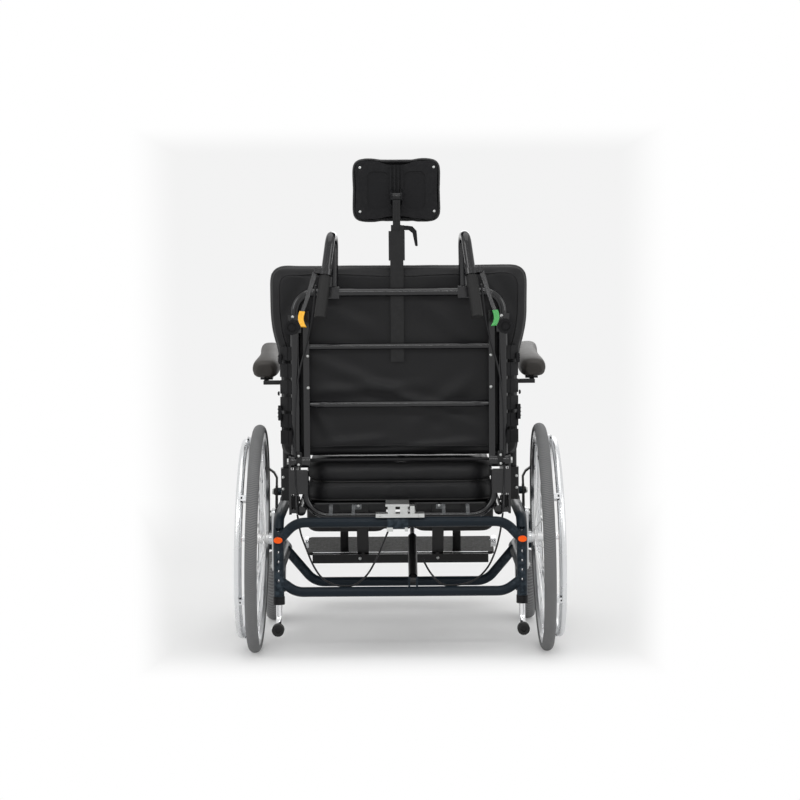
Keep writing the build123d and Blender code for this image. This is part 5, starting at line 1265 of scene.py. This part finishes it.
buckleLook = {
    "x": 0.3175, "y": (-0.2875, -0.2725), "half": 0.0045, "edge": 0.0018,
    # bottom, top and how far in
    "places": ((0.624, 0.664, 0.0), (0.775, 0.800, -0.002)),
    "ribs": 3, "ribHalf": (0.0058, 0.0014), "ribY": (-0.2862, -0.2738), "ribEdge": 0.0007,
    "knob": (0.3175, -0.281, 0.696),
    "knobTurn": ((0.005, 0), (0.0058, 0.001), (0.0058, 0.003), (0.004, 0.005), (0.001, 0.0055)),
}


def makeBuckles(look):
    bm = bmesh.new()
    (rear, front), (ribRear, ribFront) = look["y"], look["ribY"]
    for side in (-1, 1):
        for low, high, out in look["places"]:
            x = side * (look["x"] + out)
            chamferedBlock(bm, (x - look["half"], rear, low), (x + look["half"], front, high), look["edge"])
            for rib in range(look["ribs"]):
                z = low + (high - low) * (rib + 1) / 4
                wide, tall = look["ribHalf"]
                under, over = (x - wide, ribRear, z - tall), (x + wide, ribFront, z + tall)
                chamferedBlock(bm, under, over, look["ribEdge"])
        x, y, z = look["knob"]
        turned(bm, (side * x, y, z), (side, 0, 0), look["knobTurn"], 18)
    addHardPiece("strapBuckles", bm, "black_plastic", "backrest")


makeBuckles(buckleLook)

# ---- screws and nuts: the way they face, radius, height and places
zincScrews = {
    "backrest": (
        ("rear", 0.0038, 0.0034, ((-0.2675, -0.3163, 0.532), (-0.2675, -0.3163, 0.509),
                                  (0.2675, -0.3163, 0.532), (0.2675, -0.3163, 0.509))),
        ("rear", 0.0042, 0.004, ((-0.2415, -0.306, 0.796), (0.2425, -0.306, 0.796),
                                 (-0.2405, -0.306, 0.712), (0.2425, -0.306, 0.712),
                                 (-0.279, -0.324, 0.9), (0.270, -0.324, 0.9))),
    ),
    "seat": (
        ("rear", 0.0042, 0.0045, ((-0.111, -0.2905, 0.395), (0.104, -0.2905, 0.395))),
        ("rear", 0.003, 0.003, ((-0.052, -0.3932, 0.381), (0.049, -0.3932, 0.381))),
        ("rear", 0.0042, 0.004, ((-0.3155, -0.183, 0.430), (0.3155, -0.183, 0.430),
                                 (-0.3155, -0.183, 0.462), (0.3155, -0.183, 0.462))),
        ("side", 0.009, 0.005, ((-0.294, -0.296, 0.516), (0.294, -0.296, 0.516))),
    ),
    "legrest": (("rear", 0.0046, 0.004, ((-0.1205, 0.4008, 0.155), (0.111, 0.4008, 0.156))),),
    "headrest": (("rear", 0.0036, 0.0018, ((-0.101, -0.2315, 1.176), (0.0965, -0.2315, 1.176),
                                           (-0.1005, -0.2315, 1.293), (0.0955, -0.2315, 1.293))),),
    # the receiver plates' bolts, and the screw that clamps each brake
    "chassis": (
        ("side", 0.0055, 0.0045, [(x, y, z) for x in (-0.3423, 0.3423) for z in (0.372, 0.233)
                                  for y in (-0.2735, -0.2285)]),
        ("side", 0.0085, 0.004, ((-0.3572, 0.094, 0.392), (0.3572, 0.094, 0.392))),
    ),
}
smallestNut = 0.005
rearward = (0, -1, 0)

for body, groups in zincScrews.items():
    screwBm = bmesh.new()
    for facing, radius, high, places in groups:
        for place in places:
            axis = rearward if facing == "rear" else (1 if place[0] > 0 else -1, 0, 0)
            boltHead(screwBm, place, axis, radius, high, "dome" if radius < smallestNut else "hex")
    addHardPiece(body + "Screws", screwBm, "zinc", body)

# recline bracket faces on the posts, and washers under the hand wheels
backLook = {
    "faceX": 0.2665, "faceHalf": 0.0075, "faceY": (-0.3163, -0.3092), "faceZ": (0.504, 0.5425),
    "edge": 0.002,
    "washer": (0.28, -0.3243, 0.873), "washerTurn": ((0.011, -0.0002), (0.011, -0.0001)),
}


def makeBackFittings(look):
    bm = bmesh.new()
    (rear, front), (low, high) = look["faceY"], look["faceZ"]
    for side in (-1, 1):
        left, right = side * look["faceX"] - look["faceHalf"], side * look["faceX"] + look["faceHalf"]
        chamferedBlock(bm, (left, rear, low), (right, front, high), look["edge"])
        x, y, z = look["washer"]
        turned(bm, (side * x, y, z), rearward, look["washerTurn"], 24)
    addHardPiece("backFittings", bm, "black_paint", "backrest")


makeBackFittings(backLook)

# spring clips that hold the pan on the hoop, and two screwed tabs
clipLook = {
    "clips": ((-0.184, 0.010), (-0.124, 0.009), (0.116, 0.009), (0.180, 0.010)), "thick": 0.002,
    "path": ((-0.3105, 0.3725), (-0.3108, 0.377), (-0.3055, 0.3815), (-0.298, 0.3824), (-0.2925, 0.384),
             (-0.2885, 0.389), (-0.284, 0.3945), (-0.278, 0.3962), (-0.268, 0.3966)),
    "tabs": (-0.111, 0.104), "tabHalf": 0.0085, "edge": 0.0008,
    "tabParts": (((-0.2905, 0.386), (-0.2875, 0.3975)), ((-0.2885, 0.3945), (-0.268, 0.3972))),
}


def makeSeatClips(look):
    bm = bmesh.new()
    for x, wide in look["clips"]:
        flatStrap(bm, [(x, y, z) for y, z in look["path"]], (wide, 0, 0), look["thick"])
    for x in look["tabs"]:
        for low, high in look["tabParts"]:
            chamferedBlock(bm, (x - look["tabHalf"], *low), (x + look["tabHalf"], *high), look["edge"])
    addHardPiece("seatClips", bm, "greyClip", "seat")


makeSeatClips(clipLook)

# silver brackets that carry the plate's ears, heel straps, and a bright edge along the plate
footLook = {
    "brackets": ((-0.2785, 0.005), (0.2775, 0.008)), "bracketThick": 0.004,
    "bracketPath": ((0.423, 0.186), (0.4205, 0.196), (0.424, 0.209), (0.434, 0.2165), (0.447, 0.2155)),
    "straps": ((-0.179, -0.155), (0.156, 0.18)), "strapThick": 0.0026,
    "strapPath": ((0.434, 0.171), (0.427, 0.188), (0.424, 0.207), (0.4225, 0.226), (0.427, 0.2375),
                  (0.436, 0.24), (0.446, 0.236)),
    "hinge": (0, 0.421, 0.162), "slope": 14, "edgeAlong": 0.0108, "edgeUp": 0.0045,
    "edgeX": (-0.262, -0.1, 0.1, 0.262), "edgeWide": 0.0026, "edgeThick": 0.0014,
}


def makeFootFittings(look):
    bm = bmesh.new()
    for x, half in look["brackets"]:
        flatStrap(bm, [(x, y, z) for y, z in look["bracketPath"]], (half * 2, 0, 0), look["bracketThick"])
    addHardPiece("footBrackets", bm, "silver_alloy", "footboard")
    bm = bmesh.new()
    for low, high in look["straps"]:
        x = (low + high) / 2
        flatStrap(bm, [(x, y, z) for y, z in look["strapPath"]], (high - low, 0, 0), look["strapThick"])
    addPiece("heelStraps", bm, "webbing", "footboard")
    bm = bmesh.new()
    slope = radians(look["slope"])
    along, up = Vector((0, cos(slope), sin(slope))), Vector((0, -sin(slope), cos(slope)))
    origin = Vector(look["hinge"]) + along * look["edgeAlong"]
    path = [origin + up * look["edgeUp"] + Vector((x, 0, 0)) for x in look["edgeX"]]
    flatStrap(bm, path, along * look["edgeWide"], look["edgeThick"])
    addPiece("plateEdge", bm, "silver_alloy", "footboard")


makeFootFittings(footLook)

# rubber sleeves on the hand rim's arms, the valve, the nipples at the rim and the hub's caps
wheelLook = {
    "sleeves": 6, "sleeveRadius": 0.2622, "sleeveOut": 0.0262,
    "sleeveTurn": ((0.0085, 0), (0.0105, 0.001), (0.0105, 0.0042), (0.0085, 0.0052)),
    "valveAngle": 120, "valveRadius": 0.263,
    "valveTurn": ((0.0045, 0), (0.0045, 0.002), (0.003, 0.003), (0.003, 0.022), (0.0042, 0.023),
                  (0.0042, 0.034), (0.003, 0.036)),
    # spokes at each flange, where they meet the rim and the hub, and how they pass each other
    "spokes": 18, "lead": 60, "rim": (0.2627, 0.0025, 0.00154), "hub": (0.020, 0.020, 0.00176),
    "nippleTurn": ((0.0026, -0.0006), (0.0026, 0.002), (0.0021, 0.003), (0.002, 0.013), (0.0016, 0.0135)),
    "cap": (0.033, ((0.013, 0), (0.0125, 0.002), (0.0095, 0.003), (0.0095, 0.008), (0.0085, 0.0095),
                    (0.0055, 0.0095), (0.005, 0.0075), (0, 0.0075))),
    "innerCap": (-0.029, ((0.0115, 0), (0.0115, 0.0012), (0.0072, 0.0014))),
}


def makeWheelFittings(look, spot, side, hand):
    lean = radians(spot["camber"])
    outward = Vector((side * cos(lean), 0, sin(lean)))
    centre = Vector((side * spot["x"], spot["y"], spot["z"]))
    first = Vector((0, 1, 0))
    second = outward.cross(first)

    def radial(angle):
        return first * cos(angle) + second * sin(angle)

    def at(angle, radius, out):
        return centre + radial(angle) * radius + outward * out

    body = "rear_wheel_" + hand
    bm = bmesh.new()
    for number in range(look["sleeves"]):
        angle = radians(30 + 360 / look["sleeves"] * number)
        turned(bm, at(angle, look["sleeveRadius"], look["sleeveOut"]), outward, look["sleeveTurn"], 16)
    valve = radians(look["valveAngle"])
    turned(bm, at(valve, look["valveRadius"], 0.0), -radial(valve), look["valveTurn"], 14)
    addHardPiece("wheelSleeves." + hand, bm, "black_plastic", body)
    bm = bmesh.new()
    rimRadius, rimOut, rimPass = look["rim"]
    hubRadius, hubOut, hubPass = look["hub"]
    for flange in (-1, 1):
        for number in range(look["spokes"]):
            way = 1 if number % 2 else -1
            atHub = radians(number * 360 / look["spokes"] + (flange + 1) * 5)
            atRim = atHub + way * radians(look["lead"])
            rimEnd = at(atRim, rimRadius, flange * (rimOut + way * rimPass))
            hubEnd = at(atHub, hubRadius, flange * (hubOut + way * hubPass))
            turned(bm, rimEnd, hubEnd - rimEnd, look["nippleTurn"], 8)
    out, capTurn = look["cap"]
    turned(bm, at(0, 0, out), outward, capTurn, 28)
    out, capTurn = look["innerCap"]
    turned(bm, at(0, 0, out), -outward, capTurn, 24)
    addHardPiece("wheelNipples." + hand, bm, "chrome", body)


for side, hand in sides:
    makeWheelFittings(wheelLook, wheelSpots["rear"], side, hand)
print("fittings made")

# a coloured cap over each release lever's end, drawn in under the grip; out from and down along the grip
leverTip = {
    "pin": (0.2132, -0.3948, 1.0196), "out": (0.9928, 0.036, 0.117), "down": (0.1224, -0.2986, -0.9465),
    "path": ((0.0222, 0.111), (0.0242, 0.122), (0.0235, 0.132), (0.0195, 0.142), (0.0135, 0.151)),
    "wide": 0.0145, "thick": 0.0082, "finish": {"left": "yellowTip", "right": "greenTip"},
}


def makeLeverTips(look):
    for side, hand in sides:
        bm = bmesh.new()
        pin, out, down = (Vector((side * x, y, z)) for x, y, z in (look["pin"], look["out"], look["down"]))
        path = [pin + out * away + down * along for away, along in look["path"]]
        flatStrap(bm, path, out * look["wide"], look["thick"])
        addHardPiece("leverTip." + hand, bm, look["finish"][hand], "release_lever_" + hand)


makeLeverTips(leverTip)

# brakes: a plate down to the shoe, and a handle cranked outward beside the wheel
brakeLook = {
    "x": 0.349,
    "plate": ((0.349, 0.105, 0.408), (0.349, 0.094, 0.392), (0.349, 0.082, 0.356), (0.349, 0.0725, 0.324)),
    "plateSize": (0.021, 0.007),
    "handle": ((0.349, 0.096, 0.394), (0.349, 0.112, 0.43), (0.357, 0.118, 0.444), (0.383, 0.127, 0.462),
               (0.391, 0.131, 0.472), (0.391, 0.137, 0.487)),
    "handleSize": (0.018, 0.006),
    "shoe": (0.074, 0.332),
    "shoeTurn": ((0.0055, -0.002), (0.008, -0.001), (0.008, 0.047), (0.0065, 0.049)),
    "pivot": (0.094, 0.392), "pivotTurn": ((0.0105, 0.0036), (0.0105, 0.006), (0.008, 0.0075)),
    "grip": (0.391, 0.134, 0.476), "gripAxis": (0, 0.29, 0.957), "ribs": 7, "ribPitch": 0.0085,
    "gripStart": ((0.0055, 0), (0.0068, 0.002)), "rib": ((0.0069, 0), (0.0062, 0.002), (0.0069, 0.004)),
    "ribStart": 0.006, "gripEnd": ((0.0069, 0.066), (0.0055, 0.07), (0.002, 0.0715)),
}


def makeBrakeLevers(look):
    grip = list(look["gripStart"])
    for number in range(look["ribs"]):
        start = look["ribStart"] + number * look["ribPitch"]
        grip += [(radius, start + along) for radius, along in look["rib"]]
    grip += look["gripEnd"]
    for side, hand in sides:
        bm = bmesh.new()
        for part in ("plate", "handle"):
            wide, thick = look[part + "Size"]
            flatStrap(bm, [(side * x, y, z) for x, y, z in look[part]], (0, wide, 0), thick)
        for part, steps in (("shoe", 20), ("pivot", 24)):
            turned(bm, (side * look["x"], *look[part]), (side, 0, 0), look[part + "Turn"], steps)
        lever = addHardPiece("brakeLever." + hand, bm, "black_paint", "brake_" + hand)
        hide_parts("brake_lever_" + hand)
        bm = bmesh.new()
        x, y, z = look["grip"]
        turned(bm, (side * x, y, z), look["gripAxis"], grip, 20)
        cover = addPiece("brakeGrip." + hand, bm, "rubber", "brake_" + hand)
        cover.parent = lever


makeBrakeLevers(brakeLook)

# the painted sleeve round the cross tube, and the two zinc stops under it
bearingLook = {
    "end": (-0.0333, -0.371, 0.362),
    "turn": ((0.0133, -0.0003), (0.0192, -0.0003), (0.0192, 0.0546), (0.0133, 0.0546)),
    "stops": ((-0.035, -0.019), (0.012, 0.020)), "stopY": (-0.385, -0.363), "stopZ": (0.338, 0.3495),
    "edge": 0.001,
}


def makeBearing(look):
    bm = bmesh.new()
    turned(bm, look["end"], (1, 0, 0), look["turn"], 40)
    addHardPiece("bearingSleeve", bm, "frame_paint", "seat")
    bm = bmesh.new()
    (rear, front), (low, high) = look["stopY"], look["stopZ"]
    for left, right in look["stops"]:
        chamferedBlock(bm, (left, rear, low), (right, front, high), look["edge"])
    addHardPiece("bearingStops", bm, "zinc", "chassis")


makeBearing(bearingLook)
print("levers and bearing made")
